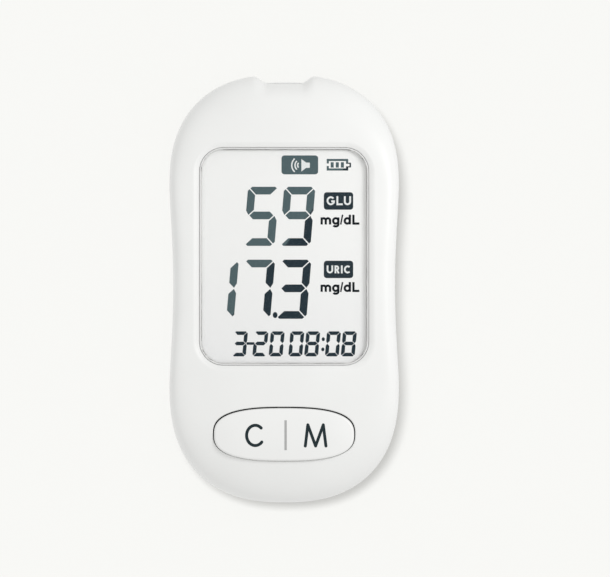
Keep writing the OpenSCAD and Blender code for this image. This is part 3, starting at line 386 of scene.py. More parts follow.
def mesh_object(name, parts):
    """One object from closed parts, in metres and at the origin."""
    points, faces, start = [], [], 0
    for p, f in parts:
        points.append(p)
        for group in f:
            faces += (group + start).tolist()
        start += len(p)
    mesh = bpy.data.meshes.new(name)
    mesh.from_pydata((np.concatenate(points) * MM).tolist(), [], faces)
    mesh.update()
    obj = bpy.data.objects.new(name, mesh)
    bpy.context.collection.objects.link(obj)
    return obj


def points_of(mesh):
    """A mesh's points, in metres, as one array."""
    co = np.zeros(len(mesh.vertices) * 3, np.float32)
    mesh.vertices.foreach_get("co", co)
    return co.reshape(-1, 3)


def combine_with(obj, other, operation):
    """obj without another object, joined to it or kept within it. The other object is used up."""
    step = obj.modifiers.new(operation, "BOOLEAN")
    step.operation, step.object, step.solver = operation, other, "MANIFOLD"
    graph = bpy.context.evaluated_depsgraph_get()
    mesh = bpy.data.meshes.new_from_object(obj.evaluated_get(graph))
    obj.modifiers.clear()
    old, obj.data = obj.data, mesh
    bpy.data.meshes.remove(old)
    bpy.data.objects.remove(other)


def combine(obj, parts, operation="DIFFERENCE"):
    """obj with closed parts cut from it, added to it or kept of it. The parts don't touch each other."""
    combine_with(obj, mesh_object("tool", parts), operation)


def add_each(obj, parts):
    """obj with closed parts added one by one, for parts that touch each other."""
    for part in parts:
        combine(obj, [part], "UNION")


def cut_each(obj, parts):
    """obj with closed parts cut from it one by one, for parts that touch each other."""
    for part in parts:
        combine(obj, [part])


def finish_piece(obj, body, material, replaces=(), angle=32):
    """Name, finish and body of a made piece, with the CAD nodes it replaces hidden, sharp where its faces meet at
    more than angle.
    """
    mesh = obj.data
    mesh.name = obj.name
    mesh.materials.clear()
    mesh.materials.append(material)
    mesh.polygons.foreach_set("use_smooth", np.ones(len(mesh.polygons), bool))
    mesh.set_sharp_from_angle(angle=math.radians(angle))
    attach(obj, body)
    if replaces:
        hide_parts(*replaces)


# ---- finishes ----


def new_material(name, colour, roughness, **sockets):
    """A principled surface: (material, its nodes, its shader)."""
    material = bpy.data.materials.new(name)
    material.use_nodes = True
    nodes = material.node_tree.nodes
    shader = nodes["Principled BSDF"]
    shader.inputs["Base Color"].default_value = (*colour, 1)
    shader.inputs["Roughness"].default_value = roughness
    for socket, value in sockets.items():
        shader.inputs[socket.replace("_", " ")].default_value = value
    return material, nodes, shader


def noise_of(material, nodes, scale, detail=2.0):
    """Noise on the object's own coordinates, in cells per metre."""
    place = nodes.new("ShaderNodeTexCoord")
    noise = nodes.new("ShaderNodeTexNoise")
    noise.inputs["Scale"].default_value = scale
    noise.inputs["Detail"].default_value = detail
    material.node_tree.links.new(place.outputs["Object"], noise.inputs["Vector"])
    return noise


def grain(material, nodes, shader, scale, strength, distance=0.00002):
    """A fine bump from noise."""
    noise = noise_of(material, nodes, scale)
    bump = nodes.new("ShaderNodeBump")
    bump.inputs["Strength"].default_value = strength
    bump.inputs["Distance"].default_value = distance
    material.node_tree.links.new(noise.outputs["Fac"], bump.inputs["Height"])
    material.node_tree.links.new(bump.outputs["Normal"], shader.inputs["Normal"])


def colour_ramp(material, nodes, shader, source, stops, interpolation="LINEAR"):
    """Base colour from a value, through stops of (value, colour) in rising order."""
    ramp = nodes.new("ShaderNodeValToRGB")
    ramp.color_ramp.interpolation = interpolation
    elements = ramp.color_ramp.elements
    for element, (at, colour) in ((elements[0], stops[0]), (elements[1], stops[-1])):
        element.position, element.color = at, (*colour, 1)
    for at, colour in stops[1:-1]:
        elements.new(at).color = (*colour, 1)
    material.node_tree.links.new(source, ramp.inputs["Fac"])
    material.node_tree.links.new(ramp.outputs["Color"], shader.inputs["Base Color"])


def share_along(material, nodes, way, start, end):
    """How far a point is from start to end, 0 to 1, along a direction of the object, in metres."""
    links = material.node_tree.links
    place = nodes.new("ShaderNodeTexCoord")
    along = nodes.new("ShaderNodeVectorMath")
    along.operation = "DOT_PRODUCT"
    along.inputs[1].default_value = way
    share = nodes.new("ShaderNodeMapRange")
    share.inputs["From Min"].default_value = start
    share.inputs["From Max"].default_value = end
    links.new(place.outputs["Object"], along.inputs[0])
    links.new(along.outputs["Value"], share.inputs["Value"])
    return share.outputs["Result"]


def moulded(name, colour, roughness=0.45, drift=0.985, bump=0.12, scale=9000.0, **sockets):
    """Moulded plastic or rubber: a faint drift of colour and a spark-eroded grain."""
    material, nodes, shader = new_material(name, colour, roughness, **sockets)
    drifted = tuple(c * drift for c in colour)
    noise = noise_of(material, nodes, 90.0)
    colour_ramp(material, nodes, shader, noise.outputs["Fac"], [(0.35, colour), (0.65, drifted)])
    grain(material, nodes, shader, scale, bump)
    return material


def metal(name, colour, roughness=0.3, bump=0.1):
    """Plated or brushed metal with a fine grain and uneven shine."""
    material, nodes, shader = new_material(name, colour, roughness, Metallic=1.0)
    grain(material, nodes, shader, 6000.0, bump)
    noise = noise_of(material, nodes, 700.0)
    spread = nodes.new("ShaderNodeMapRange")
    spread.inputs["To Min"].default_value = roughness * 0.8
    spread.inputs["To Max"].default_value = roughness * 1.25
    material.node_tree.links.new(noise.outputs["Fac"], spread.inputs["Value"])
    material.node_tree.links.new(spread.outputs["Result"], shader.inputs["Roughness"])
    return material


# The edge of a painted glare across the display: its normal, its distance and its softness, in metres
GLARE_NORMAL = (0.797, -0.604, 0)
GLARE_AT = -0.00563
GLARE_SOFT = 0.0001


def print_finish(name, near, far=None):
    """Display or key print. With far, a painted glare: the tone changes along a slanted line across the window,
    lighter on its upper left side, as a reflection on the lens would make it.
    """
    material, nodes, shader = new_material(name, near, 0.5, Specular_IOR_Level=0.12)
    grain(material, nodes, shader, 12000.0, 0.05)
    if far:
        share = share_along(material, nodes, GLARE_NORMAL, GLARE_AT - GLARE_SOFT, GLARE_AT + GLARE_SOFT)
        colour_ramp(material, nodes, shader, share, [(0, near), (1, far)])
    return material


def display_finish():
    """The display's grey film, with painted shade: a little darker towards the foot of the window."""
    foot, head = (0.92, 0.922, 0.925), (0.965, 0.967, 0.96)
    material, nodes, shader = new_material("display_grey", head, 0.5)
    share = share_along(material, nodes, (0, 1, 0), -0.018, 0.014)
    colour_ramp(material, nodes, shader, share, [(0, foot), (1, head)], "EASE")
    grain(material, nodes, shader, 9000.0, 0.02)
    return material


def cell_finish(name, button_up):
    """A cell: a plain jacket, with bare steel at its two ends along Y, deeper at the end with the button."""
    jacket, steel, edge = (0.03, 0.1, 0.25), (0.55, 0.56, 0.57), 0.0009
    low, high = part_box(name)
    length = high[1] - low[1]
    low_end, high_end = (edge, 2 * edge) if button_up else (2 * edge, edge)
    material, nodes, shader = new_material("jacket_" + name, jacket, 0.25)
    share = share_along(material, nodes, (0, 1, 0), low[1], high[1])
    stops = [(0, steel), (low_end / length, jacket), (1 - high_end / length, steel)]
    colour_ramp(material, nodes, shader, share, stops, "CONSTANT")
    grain(material, nodes, shader, 3000.0, 0.05)
    return material


SHELL = moulded("shell_white_satin", (0.87, 0.873, 0.868), 0.42)
KEY_WHITE = moulded("key_white_satin", (0.88, 0.882, 0.878), 0.38, bump=0.08)
# The segment and tag inks carry a painted glare: lighter on the upper left of a slanted line across the window,
# darker beyond it.
SEGMENT = print_finish("segment_ink_painted_glare", (0.083, 0.127, 0.138), (0.015, 0.029, 0.04))
UNIT_INK = print_finish("unit_ink", (0.002, 0.005, 0.009))
TAG_INK_PAINTED_GLARE = print_finish("tag_ink_painted_glare", (0.083, 0.127, 0.138), (0.018, 0.031, 0.041))
TAG_TEXT = print_finish("tag_text", (0.84, 0.86, 0.86))
KEY_INK = print_finish("key_ink", (0.014, 0.026, 0.031))
KEY_LINE = print_finish("key_line", (0.43, 0.43, 0.43))


# ---- covers ----


def dished(count, rise, rolls, powers):
    """A dished shell from its seam: inner skin down to the seam, a small chamfer, outer skin back up."""
    inner = roll_rings(18, WALL, rise - WALL, rolls, powers)[::-1]
    outer = roll_rings(count, 0.0, rise, rolls, powers, start=1.0)
    chamfer = np.column_stack([plan_loop(SEAM_CHAMFER), np.zeros(ROUND)])[None]
    side = np.column_stack([plan_loop(0.0), np.full(ROUND, SEAM_CHAMFER)])[None]
    return np.concatenate([inner, chamfer, side, outer])


def front_shell():
    """The front, from the seam up."""
    return skin(dished(46, FACE_Z - SEAM_Z, FRONT_ROLLS, FRONT_POWERS) + (0, 0, SEAM_Z))


def back_shell():
    """The back, the other way up."""
    return skin(dished(40, SEAM_Z, BACK_ROLLS, BACK_POWERS) * (1, 1, -1) + (0, 0, SEAM_Z), flip=True)


def core(rise, rolls, powers, up):
    """The solid that reaches to the middle of a shell's wall."""
    rings = roll_rings(18, WALL / 2, rise - WALL / 2, rolls, powers)
    return skin(rings * (1, 1, up) + (0, 0, SEAM_Z), flip=up < 0)


def window_cut():
    """The window's opening: ledge, recess, sloping frame and its rounded rim, as one stepped plug."""
    w, h, r = LENS_W + 2 * LENS_GAP, LENS_H + 2 * LENS_GAP, LENS_R + LENS_GAP
    slope = math.atan2(FACE_Z - LENS_TOP, BEVEL_W)
    rim_r = 1.4
    foot_in, foot_down = 0.1, 0.12
    profile = [(-LEDGE_W, LEDGE_Z - 1), (-LEDGE_W, GLUE_Z)]
    profile += [(0, GLUE_Z), (0, LENS_TOP - foot_down), (foot_in, LENS_TOP)]
    flat = rim_r * math.tan(slope / 2)
    profile.append((BEVEL_W - flat * math.cos(slope), FACE_Z - flat * math.sin(slope)))
    for t in np.linspace(0, 1, 6)[1:-1]:
        a = slope * (1 - t)
        profile.append((BEVEL_W + flat - rim_r * math.sin(a), FACE_Z - rim_r * (1 - math.cos(a))))
    profile += [(BEVEL_W + flat + 0.02, FACE_Z + 0.001), (BEVEL_W + flat + 0.05, FACE_Z + 1)]
    loops = [rounded_loop(w + 2 * d, h + 2 * d, r + d) + (0, LENS_Y) for d, _ in profile]
    return skin(stack(loops, [z for _, z in profile]))


def key_cut():
    """The key's opening: an upright wall, and a rim rounded along the rolled face.

    It is widest along the top and closest along the lower edge, and the ends leave room for the swing.
    """
    rim_r = 0.3

    def opening(out):
        """The edge of the key's opening, widened by out, with the gap less at the ends and the lower edge."""
        share = (1 - KEY_END / (KEY_A + KEY_GAP), 1 - KEY_CLOSE / (KEY_B + KEY_GAP))
        return key_loop(-KEY_GAP - out) * share + (0, KEY_CLOSE)

    loops, heights = [opening(0)], [BOARD_HIGH[2]]
    for a in np.radians([0, 15, 30, 45, 60, 72, 82]):
        loop = opening(rim_r * (1 - math.cos(a)))
        loops.append(loop)
        heights.append(front_height(loop[:, 0], loop[:, 1] + KEY_Y) - rim_r * (1 - math.sin(a)))
    outer = opening(rim_r * 1.1)
    loops += [outer, outer]
    heights += [front_height(outer[:, 0], outer[:, 1] + KEY_Y) + 0.1, FACE_Z + 2]
    return skin(stack([p + (0, KEY_Y) for p in loops], heights))


def posts(z0, z1, places, r):
    """Upright cylinders of one radius at places in plan."""
    return [turned((x, y, 0), [(r, z0), (r, z1)]) for x, y in places]


def screw_places(name):
    """Middles of the four screws in a node, one in each quarter of the plan."""
    co = points_of(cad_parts[name].data).astype(float) / MM
    places = []
    for sx in (-1, 1):
        for sy in (-1, 1):
            mine = co[(np.sign(co[:, 0]) == sx) & (np.sign(co[:, 1]) == sy)]
            places.append((mine[:, :2].min(0) + mine[:, :2].max(0)) / 2)
    return places


CASE_SCREWS = screw_places("case_screws")
BOARD_SCREWS = screw_places("board_screws")


def front_inside():
    """What stands on the inside of the front: the lens's ledge, the screw bosses and the ears for the key's pins."""
    out = LENS_GAP + LEDGE_RING
    ledge = rounded_loop(LENS_W + 2 * out, LENS_H + 2 * out, LENS_R + out) + (0, LENS_Y)
    inside = mesh_object("inside", [prism(ledge, LEDGE_Z, FACE_Z)])
    add_each(inside, posts(SEAM_Z, FACE_Z, CASE_SCREWS, BOSS_R))
    add_each(inside, posts(BOARD_HIGH[2], FACE_Z, BOARD_SCREWS, BOSS_R))
    for y0, y1 in ((KEY_Y + EAR_IN, KEY_Y + EAR_OUT), (KEY_Y - EAR_OUT, KEY_Y - EAR_IN)):
        add_each(inside, [block((-EAR_HALF, y0, PIN_Z - PIN_R), (EAR_HALF, y1, FACE_Z))])
    combine(inside, [core(FACE_Z - SEAM_Z, FRONT_ROLLS, FRONT_POWERS, 1)], "INTERSECT")
    return inside


def pin_bores():
    """For each of the key's pins a bore through its ear, and the snap-in slot under it."""
    bore_r, snap_half = PIN_R + PIN_GAP, 0.8 * PIN_R
    length = EAR_OUT - EAR_IN + 2 * BITE
    bores = []
    for y0 in (KEY_Y + EAR_IN - BITE, KEY_Y - EAR_OUT - BITE):
        bores += [turned((0, y0, PIN_Z), [(bore_r, 0), (bore_r, length)], axis=1),
                  block((-snap_half, y0, BOARD_HIGH[2]), (snap_half, y0 + length, PIN_Z))]
    return bores


def strip_slot():
    """The port's slot, its flared mouth, and the open top over its outer lip."""
    mouth = TOP_APEX - NOTCH_DEPTH
    flare = [rounded_loop(2 * (SLOT_HALF + out), SLOT_H + 2 * out, 0.1, 3) for out in (0, SLOT_FLARE)]
    rings = stack(flare, [SLOT_FLARE / 2, -SLOT_FLARE / 2])[:, :, [0, 2, 1]] * (1, -1, 1)
    low, high = SLOT_Z - SLOT_H / 2, SLOT_Z + SLOT_H / 2
    return [
        block((-SLOT_HALF, CONNECTOR_HIGH[1] - 1, low), (SLOT_HALF, TOP_APEX, high)),
        skin(rings + (0, mouth, SLOT_Z)),
        block((-SLOT_HALF, mouth - SLOT_LIP, SLOT_Z), (SLOT_HALF, TOP_APEX + 1, FACE_Z + 1)),
    ]


def front_cover():
    """The front: its shell and inside, cut for the window, the key, the screws, the key's pins and the port."""
    front = mesh_object("front_shell", [front_shell()])
    combine_with(front, front_inside(), "UNION")
    combine(front, [window_cut(), key_cut()])
    combine(front, posts(SEAM_Z - 1, SEAM_Z + CASE_THREAD, CASE_SCREWS, PILOT_R)
            + posts(BOARD_HIGH[2] - 1, BOARD_HIGH[2] + BOARD_THREAD, BOARD_SCREWS, PILOT_R))
    cut_each(front, pin_bores() + strip_slot())
    finish_piece(front, "case", SHELL, ["front_cover"])


# ---- key ----


def key_height(x, y):
    """Height of the key's top over points from its middle, by halving the inset of the ring there."""
    low, high = np.zeros_like(x), np.full_like(x, KEY_SPINE)
    for _ in range(40):
        d = (low + high) / 2
        reach = np.abs(x / (KEY_A - d)) ** KEY_POWER + np.abs(y / (KEY_B - d)) ** KEY_POWER
        low, high = np.where(reach < 1, d, low), np.where(reach < 1, high, d)
    s = np.clip((low - KEY_EDGE) / (KEY_SPINE - KEY_EDGE), 0, 1)
    return KEY_TOP - KEY_CROWN * (1 - s) ** 2


def rocker_key():
    """The key: upright skirt, rounded edge and a crown that rises as 1 - (1 - s)^2 to the middle.

    Under it are the hub with its two pins, and a plunger for each dome of the keypad.
    """
    edge_z = KEY_TOP - KEY_CROWN
    profile = [(0, KEY_BOTTOM)]
    for a in np.radians([0, 12, 24, 36, 48, 60, 72, 82, 90]):
        profile.append((KEY_EDGE * (1 - math.cos(a)), edge_z - KEY_EDGE * (1 - math.sin(a))))
    for s in np.linspace(0, 1, 13)[1:]:
        profile.append((mix(KEY_EDGE, KEY_SPINE, s), KEY_TOP - KEY_CROWN * (1 - s) ** 2))
    key = mesh_object("key_cap", [skin(stack([key_loop(d) for d, _ in profile], [z for _, z in profile]))])
    reach, inner = KEY_B + HUB_PAST, HUB_HALF - FAINT
    plunger = [(PLUNGER_R, PLUNGER_FOOT), (PLUNGER_R, KEY_BOTTOM + BITE)]
    add_each(key, [
        block((-HUB_HALF, -reach, PIN_Z - HUB_PAST), (HUB_HALF, reach, KEY_BOTTOM - HUB_UNDER)),
        block((-inner, -KEY_SPINE, PIN_Z), (inner, KEY_SPINE, KEY_BOTTOM + BITE)),
        turned((0, -EAR_OUT, PIN_Z), [(PIN_R, 0), (PIN_R, 2 * EAR_OUT)], axis=1),
        turned((-PLUNGER_X, 0, 0), plunger),
        turned((PLUNGER_X, 0, 0), plunger),
    ])
    in_place = points_of(key.data) + (0, KEY_Y * MM, 0)
    key.data.vertices.foreach_set("co", in_place.ravel().astype(np.float32))
    finish_piece(key, "key", KEY_WHITE, ["rocker_key"])


def rubber_keypad():
    """The keypad: a sheet with a hollow cone-sided dome under each plunger, which gives way under the key."""
    low, high = node_box("keypad")
    middle, top, sheet_top = (low[1] + high[1]) / 2, high[2], low[2] + KEYPAD_SHEET
    sheet = rounded_loop(high[0] - low[0], high[1] - low[1], 2) + (0, middle)
    pad = mesh_object("rubber_keypad", [prism(sheet, low[2], sheet_top)])
    # Radius and height of the dome's outside, from its foot up, and of the hollow under it
    dome = [(3.4, sheet_top - 0.1), (3.35, sheet_top), (2.5, top - 0.25), (2.35, top - 0.08), (2.1, top)]
    hollow = [(2, low[2] - 1), (2, sheet_top + 0.35), (1.75, sheet_top + 0.47)]
    for x in (-PLUNGER_X, PLUNGER_X):
        add_each(pad, [turned((x, middle, 0), dome)])
        cut_each(pad, [turned((x, middle, 0), hollow)])
    finish_piece(pad, "case", INNER["keypad"], ["keypad"])
    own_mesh(pad)


# ---- print ----


def ribbon(path, width, lift, deep, height, closed=False, round_ends=False):
    """A flat stroke along a path, standing lift over a surface and reaching deep under it.

    A round end goes on past the path's end: at the angle f its row stands width/2 sin f further out
    and is width cos f wide.
    """
    path = np.asarray(path, float)
    half = np.full(len(path), width / 2)
    ahead = np.roll(path, -1, 0) - np.roll(path, 1, 0) if closed else np.gradient(path, axis=0)
    ahead /= np.linalg.norm(ahead, axis=1)[:, None]
    if round_ends:
        f = np.radians(np.array([84, 68, 50, 32, 15]))
        out = width / 2 * np.sin(f)[:, None]
        path = np.concatenate([path[0] - out * ahead[0], path, path[-1] + out[::-1] * ahead[-1]])
        half = np.concatenate([width / 2 * np.cos(f), half, width / 2 * np.cos(f)[::-1]])
        ahead = np.concatenate([np.repeat(ahead[:1], len(f), 0), ahead, np.repeat(ahead[-1:], len(f), 0)])
    aside = np.stack([-ahead[:, 1], ahead[:, 0]], 1) * half[:, None]
    rows = []
    for side, z in ((path - aside, -deep), (path + aside, -deep), (path + aside, lift), (path - aside, lift)):
        rows.append(np.column_stack([side, height(side[:, 0], side[:, 1]) + z]))
    rings = np.array(rows).transpose(1, 0, 2)
    points, faces = skin(np.concatenate([rings, rings[:1]]) if closed else rings)
    if closed:
        points, faces = points[:-4], [faces[0] % (len(points) - 4)]
    return points, faces


def arc(centre, radius, start, end, count=40, tall=None):
    """Part of an ellipse, by its half-width and, where it differs, its half-height."""
    t = np.radians(np.linspace(start, end, count))
    return np.stack([centre[0] + radius * np.cos(t), centre[1] + (tall or radius) * np.sin(t)], 1)


def line(a, b, count=12):
    """count points evenly spaced on the straight line from a to b."""
    return np.linspace(a, b, count)


def key_marks():
    """The print on the key: C, a dividing line and M."""
    c_stroke, m_stroke, bar_stroke = 0.68, 0.66, 0.52
    m_foot, m_head = -34.41, -29.75

    def on_key(x, y):
        """The key's top over a point of the case."""
        return key_height(x, y - KEY_Y)

    def stroke(path, width, lift=KEY_PRINT, round_ends=True):
        """A stroke of print along a path, lying on the key's top."""
        return ribbon(path, width, lift, KEY_PRINT_DEEP, on_key, round_ends=round_ends)

    c_mark = mesh_object("key_mark_c", [stroke(arc((-6.33, -32.08), 1.9, 47, 319, 60, 2.22), c_stroke)])
    corners = [(4.67, m_foot), (5.22, m_head), (6.93, m_foot), (8.62, m_head), (9.2, m_foot)]
    m_mark = mesh_object("key_mark_m", [
        stroke(line(a, b, 20), m_stroke, KEY_PRINT + 2 * STROKE_STEP * k)
        for k, (a, b) in enumerate(zip(corners, corners[1:]))
    ])
    bar_path = line((0.34, -28.75), (0.34, -35.33), 30)
    bar = mesh_object("key_divider", [stroke(bar_path, bar_stroke, round_ends=False)])
    for mark, ink in ((c_mark, KEY_INK), (m_mark, KEY_INK), (bar, KEY_LINE)):
        finish_piece(mark, "key", ink)


# ---- display ----


def flat(x, y):
    """The display glass's height, the same at every point."""
    return np.full_like(np.asarray(x, float), FILM_Z)


def plate(polygon, lift=PRINT_LIFT):
    """A thin plate with the outline of a polygon, on the display glass."""
    return prism(np.asarray(polygon, float), FILM_Z, FILM_Z + lift)


def display_piece(name, parts, ink):
    """A piece of print on the display glass, from closed parts."""
    finish_piece(mesh_object(name, parts), "case", ink)


SEGMENTS = {
    "0": "abcdef", "1": "bc", "2": "abged", "3": "abgcd", "5": "afgcd", "7": "abc", "8": "abcdefg", "9": "abfgcd",
}


def segment_shapes(w, h, t, gap, cut):
    """The seven segments of a digit.

    Neighbours meet on 45 degree mitres a gap apart, and each outer corner is cut off at 45 degrees.
    """
    e, c, mid, q = gap * 0.354, cut / 2, 0.515 * h, 0.48 * t
    bevel = q - 1.414 * gap
    top = np.array([
        (c + e, h - c + e), (t + 2 * e, h - t), (w - t - 2 * e, h - t),
        (w - c - e, h - c + e), (w - cut, h), (cut, h),
    ])
    middle = np.array([
        (q, mid), (q + t / 2, mid - t / 2), (w - q - t / 2, mid - t / 2),
        (w - q, mid), (w - q - t / 2, mid + t / 2), (q + t / 2, mid + t / 2),
    ])

    def side(reach):
        """A segment at the left edge, from the middle up to reach above it."""
        tip = 0.33 * t
        return np.array([
            (c - e, reach - c - e), (0, reach - cut), (0, 0.65 * t), (tip, max(tip - bevel, 0.5 * gap)),
            (t, t - bevel), (t, reach - t - 2 * e),
        ])

    upper = side(h - mid) + (0, mid)
    lower = (side(mid) * (1, -1) + (0, mid))[::-1]

    def mirrored(p):
        """A path mirrored across the middle of the width w, and run the other way."""
        return (p * (-1, 1) + (w, 0))[::-1]

    foot = (top * (1, -1) + (0, h))[::-1]
    return {"a": top, "b": mirrored(upper), "c": mirrored(lower), "d": foot, "e": lower, "f": upper, "g": middle}


def digit(char, x, y, slant, **sizes):
    """Plates of a slanted digit with its lower left corner at (x, y)."""
    shapes = segment_shapes(**sizes)
    lean = math.tan(math.radians(slant))
    return [plate(np.stack([x + p[:, 0] + lean * p[:, 1], y + p[:, 1]], 1)) for p in map(shapes.get, SEGMENTS[char])]


def dot(x, y, wide, tall):
    """An oval dot."""
    return plate(arc((x, y), wide, 0, 360, 33, tall)[:-1])


def display_numbers():
    """The two readings, and the row with the date and the time."""
    upper_y, lower_y, date_y = 9.58, -6.46, -14.73
    big = dict(w=6.88, h=13.0, t=1.69, gap=0.25, cut=0.9, slant=4.8)
    small = dict(w=3.06, h=5.5, t=0.79, gap=0.1, cut=0.45, slant=5.2)
    parts = []
    for chars, xs, y in (("59", (-9.0, -1.07), upper_y), ("173", (-17.92, -9.93, -1.97), lower_y)):
        for char, x in zip(chars, xs):
            parts += digit(char, x, y, **big)
    parts.append(dot(-1.97, -5.64, 0.52, 0.66))
    display_piece("display_readings", parts, SEGMENT)
    parts = []
    for char, x in zip("3200808", (-11.5, -7.0, -3.41, 0.91, 4.4, 8.96, 12.46)):
        parts += digit(char, x, date_y, **small)
    parts.append(plate(rounded_loop(1.75, 0.56, 0.1, 3) + (-7.39, -11.9), PRINT_LIFT + STROKE_STEP))
    parts += [dot(8.62, -10.96, 0.34, 0.42), dot(8.52, -13.2, 0.34, 0.42)]
    display_piece("display_date_row", parts, SEGMENT)


def letter_stroke(path, stroke, k=0):
    """A pale stroke in a tag: each stands a little over the one before, so that none share a face."""
    return ribbon(path, stroke, PRINT_LIFT + LETTER_LIFT + STROKE_STEP * k, -PRINT_LIFT / 2, flat)


def tag(name, y0, y1, paths, stroke):
    """A rounded dark field with pale letters in it."""
    shape = rounded_loop(TAG_X1 - TAG_X0, y1 - y0, TAG_R, 8) + ((TAG_X0 + TAG_X1) / 2, (y0 + y1) / 2)
    display_piece(name, [plate(shape)], TAG_INK_PAINTED_GLARE)
    display_piece(name + "_letters", [letter_stroke(p, stroke, k) for k, p in enumerate(paths)], TAG_TEXT)


def glu_paths(y, h):
    """G, L and U, between the middles of their lowest and highest strokes."""
    m, r, end = y + h / 2, 0.59, 0.22
    g_arc = arc((10.27, m), 0.71, 38, 325, 40, h / 2)
    g_end = [(10.95, m - 0.42), (10.95, m - 0.12)]
    u_bowl = arc((13.95, y + r), r, 180, 360, 24)
    return [
        np.concatenate([g_arc, g_end]), line((11.16, m - 0.12), (10.38, m - 0.12), 4),
        line((11.72, y + h + end), (11.72, y - end), 6), line((11.58, y), (12.9, y), 6),
        np.concatenate([[(13.36, y + h + end)], u_bowl, [(14.54, y + h + end)]]),
    ]


def uric_paths(y, h):
    """U, R, I and C, between the middles of their lowest and highest strokes."""
    end, waist = 0.19, y + h * 0.46
    u_bowl = arc((10.08, y + 0.52), 0.52, 180, 360, 24)
    r_bowl = arc((11.93 - h * 0.27, y + h * 0.73), h * 0.27, 90, -90, 16)
    return [
        np.concatenate([[(9.56, y + h + end)], u_bowl, [(10.6, y + h + end)]]),
        line((11.3, y + h + end), (11.3, y - end), 6),
        np.concatenate([[(11.3, y + h)], r_bowl, [(11.3, waist)]]),
        line((11.6, waist), (12.03, y - end), 6),
        line((12.7, y + h + end), (12.7, y - end), 6),
        arc((13.98, y + h / 2), 0.62, 48, 312, 40, h / 2),
    ]


def unit_letters(name, x, y):
    """mg/dL: x is the middle of its first stem and y its baseline."""
    low, cap = 1.56, 2.14
    bowl_y, bowl_w, bowl_h = 0.785, 0.56, 0.585
    parts = []

    def add(path, stroke=0.49, closed=False):
        """Adds a stroke along a path from (x, y), a step higher than the one before it."""
        path = np.asarray(path, float) + (x, y)
        parts.append(ribbon(path, stroke, PRINT_LIFT + STROKE_STEP * len(parts), 0.0, flat, closed))

    add(line((0, 0), (0, low), 4))
    for x0, x1 in ((0, 0.9), (0.9, 1.85)):
        r = (x1 - x0) / 2
        add(np.concatenate([arc((x0 + r, low - 0.2 - r), r, 170, 0, 16), [(x1, 0)]]))
    add(arc((3.09, bowl_y), bowl_w, 0, 352, 46, bowl_h), closed=True)
    add(np.concatenate([[(3.66, low)], arc((3.09, 0.0), 0.57, 0, -150, 20, 0.42)]))
    add(line((4.19, -0.02), (4.6, cap), 4), 0.32)
    add(arc((5.64, bowl_y), bowl_w, 0, 352, 46, bowl_h), closed=True)
    add(line((6.2, cap), (6.2, 0), 4))
    add(line((6.99, cap), (6.99, 0), 4))
    add(line((6.85, 0.2), (8.29, 0.2), 4))
    display_piece(name, parts, UNIT_INK)


def speaker_sign():
    """A dark tag with a horn and three waves."""
    middle_x, middle_y, sign_y = 3.46, 27.4, 27.32
    display_piece("display_speaker_tag", [plate(rounded_loop(8.06, 4.16, TAG_R, 8) + (middle_x, middle_y))], TAG_INK_PAINTED_GLARE)
    half = [(3.8, 1.38), (4.82, 0.6), (5.66, 0.56)]
    horn = [(x, sign_y - d) for x, d in half] + [(x, sign_y + d) for x, d in half[::-1]]
    parts = [prism(np.array(horn), FILM_Z + PRINT_LIFT / 2, FILM_Z + PRINT_LIFT + LETTER_LIFT)]
    parts += [letter_stroke(arc((3.68, sign_y), r, 133, 227, 20), 0.3) for r in (0.7, 1.28, 1.99)]
    display_piece("display_speaker_sign", parts, TAG_TEXT)


def battery_sign():
    """A cell's outline with its button at the right, open at the left, with three bars in it."""
    x0, x1, y0, y1, stroke = 9.38, 14.1, 26.15, 28.71, 0.47
    end_x, end_y0, end_y1, end_stroke = 14.72, 26.84, 27.88, 0.25
    hook, bar_w, bar_y0, bar_y1 = 1.0, 0.66, 26.8, 27.98
    bars = [
        (x0, x1, y1 - stroke, y1), (x0, x1, y0, y0 + stroke),
        (x0, x0 + stroke, y0 + stroke, y0 + hook), (x0, x0 + stroke, y1 - hook, y1 - stroke),
        (x1 - stroke, x1, y0 + stroke, end_y0 + end_stroke), (x1 - stroke, x1, end_y1 - end_stroke, y1 - stroke),
        (x1, end_x, end_y0, end_y0 + end_stroke), (x1, end_x, end_y1 - end_stroke, end_y1),
        (end_x - 0.33, end_x, end_y0 + end_stroke, end_y1 - end_stroke),
    ]
    bars += [(x, x + bar_w, bar_y0, bar_y1) for x in (10.26, 11.38, 12.5)]
    parts = [block((a, c, FILM_Z), (b, d, FILM_Z + PRINT_LIFT)) for a, b, c, d in bars]
    display_piece("display_battery_sign", parts, TAG_INK_PAINTED_GLARE)


def display_signs():
    """The loudspeaker tag, the battery sign, the two tags and their units."""
    speaker_sign()
    battery_sign()
    tag("display_tag_glu", 17.54, 21.38, glu_paths(18.73, 1.56), 0.4)
    tag("display_tag_uric", 2.49, 6.31, uric_paths(3.72, 1.36), 0.38)
    unit_letters("display_unit_upper", UNIT_X, 14.29)
    unit_letters("display_unit_lower", UNIT_X, -0.53)


def clear_finish():
    """Clear plastic: its share of gloss grows with the fourth power of the slant at which it is seen."""
    clear, nodes, shader = new_material("lens_clear", (0.1, 0.115, 0.12), 0.04, IOR=1.49)
    grain(clear, nodes, shader, 500.0, 0.01)
    links = clear.node_tree.links
    slant = nodes.new("ShaderNodeLayerWeight")
    steep = nodes.new("ShaderNodeMath")
    steep.operation = "POWER"
    steep.inputs[1].default_value = 4.0
    share = nodes.new("ShaderNodeMapRange")
    share.inputs["To Min"].default_value = 0.012
    share.inputs["To Max"].default_value = 0.8
    links.new(slant.outputs["Facing"], steep.inputs[0])
    links.new(steep.outputs["Value"], share.inputs["Value"])
    links.new(share.outputs["Result"], shader.inputs["Alpha"])
    return clear


